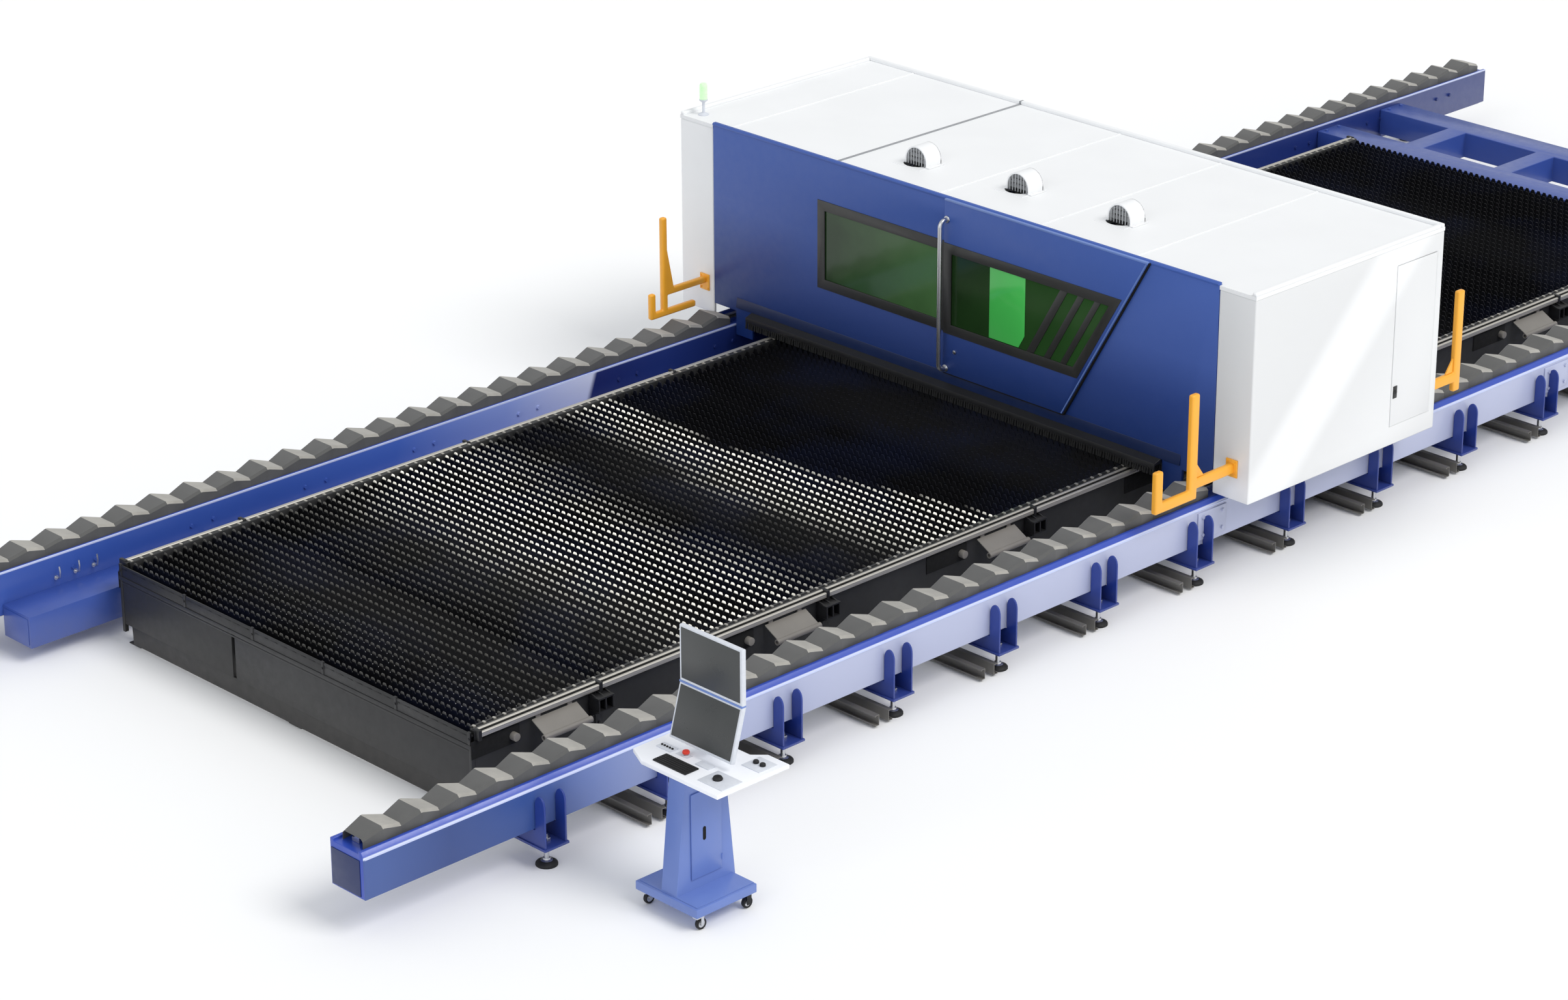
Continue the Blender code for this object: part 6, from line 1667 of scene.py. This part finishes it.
class CUTTER_OT_slats(bpy.types.Operator):
    """Build the toothed slats and their comb bars"""

    bl_idname = "cutter.slats"
    bl_label = "Slats"

    def execute(self, context):
        make_slats(context.scene.cutter_slats)
        return {"FINISHED"}


class CUTTER_OT_table(bpy.types.Operator):
    """Build the table's frame, nose, edge rails and side fittings"""

    bl_idname = "cutter.table"
    bl_label = "Table"

    def execute(self, context):
        make_table()
        return {"FINISHED"}


class CUTTER_OT_floor_pieces(bpy.types.Operator):
    """Build the floor channels and slag drawers"""

    bl_idname = "cutter.floor_pieces"
    bl_label = "Channels and drawers"

    def execute(self, context):
        make_floor_pieces()
        return {"FINISHED"}


class CUTTER_OT_duct(bpy.types.Operator):
    """Build the fume duct and the rear frame"""

    bl_idname = "cutter.duct"
    bl_label = "Duct and rear frame"

    def execute(self, context):
        make_duct()
        return {"FINISHED"}


class CUTTER_OT_running_gear(bpy.types.Operator):
    """Build the trucks, crossbeam, carriage, head and skirts"""

    bl_idname = "cutter.running_gear"
    bl_label = "Running gear"

    def execute(self, context):
        make_running_gear()
        return {"FINISHED"}


class CUTTER_OT_covers(bpy.types.Operator):
    """Build the gantry's white covers"""

    bl_idname = "cutter.covers"
    bl_label = "Covers"

    def execute(self, context):
        make_covers()
        return {"FINISHED"}


class CUTTER_OT_front(bpy.types.Operator):
    """Build the front sheet, window and sliding door"""

    bl_idname = "cutter.front"
    bl_label = "Front and door"

    def execute(self, context):
        make_front(context.scene.cutter_cabin)
        make_door(context.scene.cutter_cabin)
        return {"FINISHED"}


class CUTTER_OT_roof(bpy.types.Operator):
    """Build the roof, fan hoods and signal lamp"""

    bl_idname = "cutter.roof"
    bl_label = "Roof"

    def execute(self, context):
        make_roof(context.scene.cutter_cabin)
        make_beacon()
        return {"FINISHED"}


class CUTTER_OT_trip_bars(bpy.types.Operator):
    """Build the amber trip bars"""

    bl_idname = "cutter.trip_bars"
    bl_label = "Trip bars"

    def execute(self, context):
        make_trip_bars()
        return {"FINISHED"}


class CUTTER_OT_console(bpy.types.Operator):
    """Build the control console"""

    bl_idname = "cutter.console"
    bl_label = "Console"

    def execute(self, context):
        make_console()
        return {"FINISHED"}


class CUTTER_OT_stage(bpy.types.Operator):
    """Set the floor, light and camera"""

    bl_idname = "cutter.stage"
    bl_label = "Stage"

    def execute(self, context):
        make_stage(context.scene.cutter_stage)
        return {"FINISHED"}


STEPS = (CUTTER_OT_finishes, CUTTER_OT_rails, CUTTER_OT_feet, CUTTER_OT_bellows, CUTTER_OT_slats,
    CUTTER_OT_table, CUTTER_OT_floor_pieces, CUTTER_OT_duct, CUTTER_OT_running_gear, CUTTER_OT_covers,
    CUTTER_OT_front, CUTTER_OT_roof, CUTTER_OT_trip_bars, CUTTER_OT_console, CUTTER_OT_stage)
SETTINGS = {"cutter_paint": PaintSettings, "cutter_bellows": BellowsSettings, "cutter_slats": SlatSettings,
    "cutter_cabin": CabinSettings, "cutter_feet": FootSettings, "cutter_stage": StageSettings}


class CUTTER_PT_panel(bpy.types.Panel):
    """Lists the machine's settings and building steps"""

    bl_idname = "CUTTER_PT_panel"
    bl_label = "Gantry cutter"
    bl_space_type = "VIEW_3D"
    bl_region_type = "UI"
    bl_category = "Gantry cutter"

    def draw(self, context):
        for step in STEPS:
            self.layout.operator(step.bl_idname)
        for name, group in SETTINGS.items():
            box = self.layout.box()
            box.label(text=group.__doc__)
            for key in group.__annotations__:
                box.prop(getattr(context.scene, name), key)


def register():
    for group in SETTINGS.values():
        bpy.utils.register_class(group)
    for name, group in SETTINGS.items():
        setattr(bpy.types.Scene, name, PointerProperty(type=group))
    for step in STEPS:
        bpy.utils.register_class(step)
    bpy.utils.register_class(CUTTER_PT_panel)


def unregister():
    bpy.utils.unregister_class(CUTTER_PT_panel)
    for step in reversed(STEPS):
        bpy.utils.unregister_class(step)
    for name, group in SETTINGS.items():
        delattr(bpy.types.Scene, name)
        bpy.utils.unregister_class(group)


def main():
    register()
    for step in STEPS:
        getattr(bpy.ops.cutter, step.bl_idname.split(".")[1])()


if __name__ == "__main__":
    main()
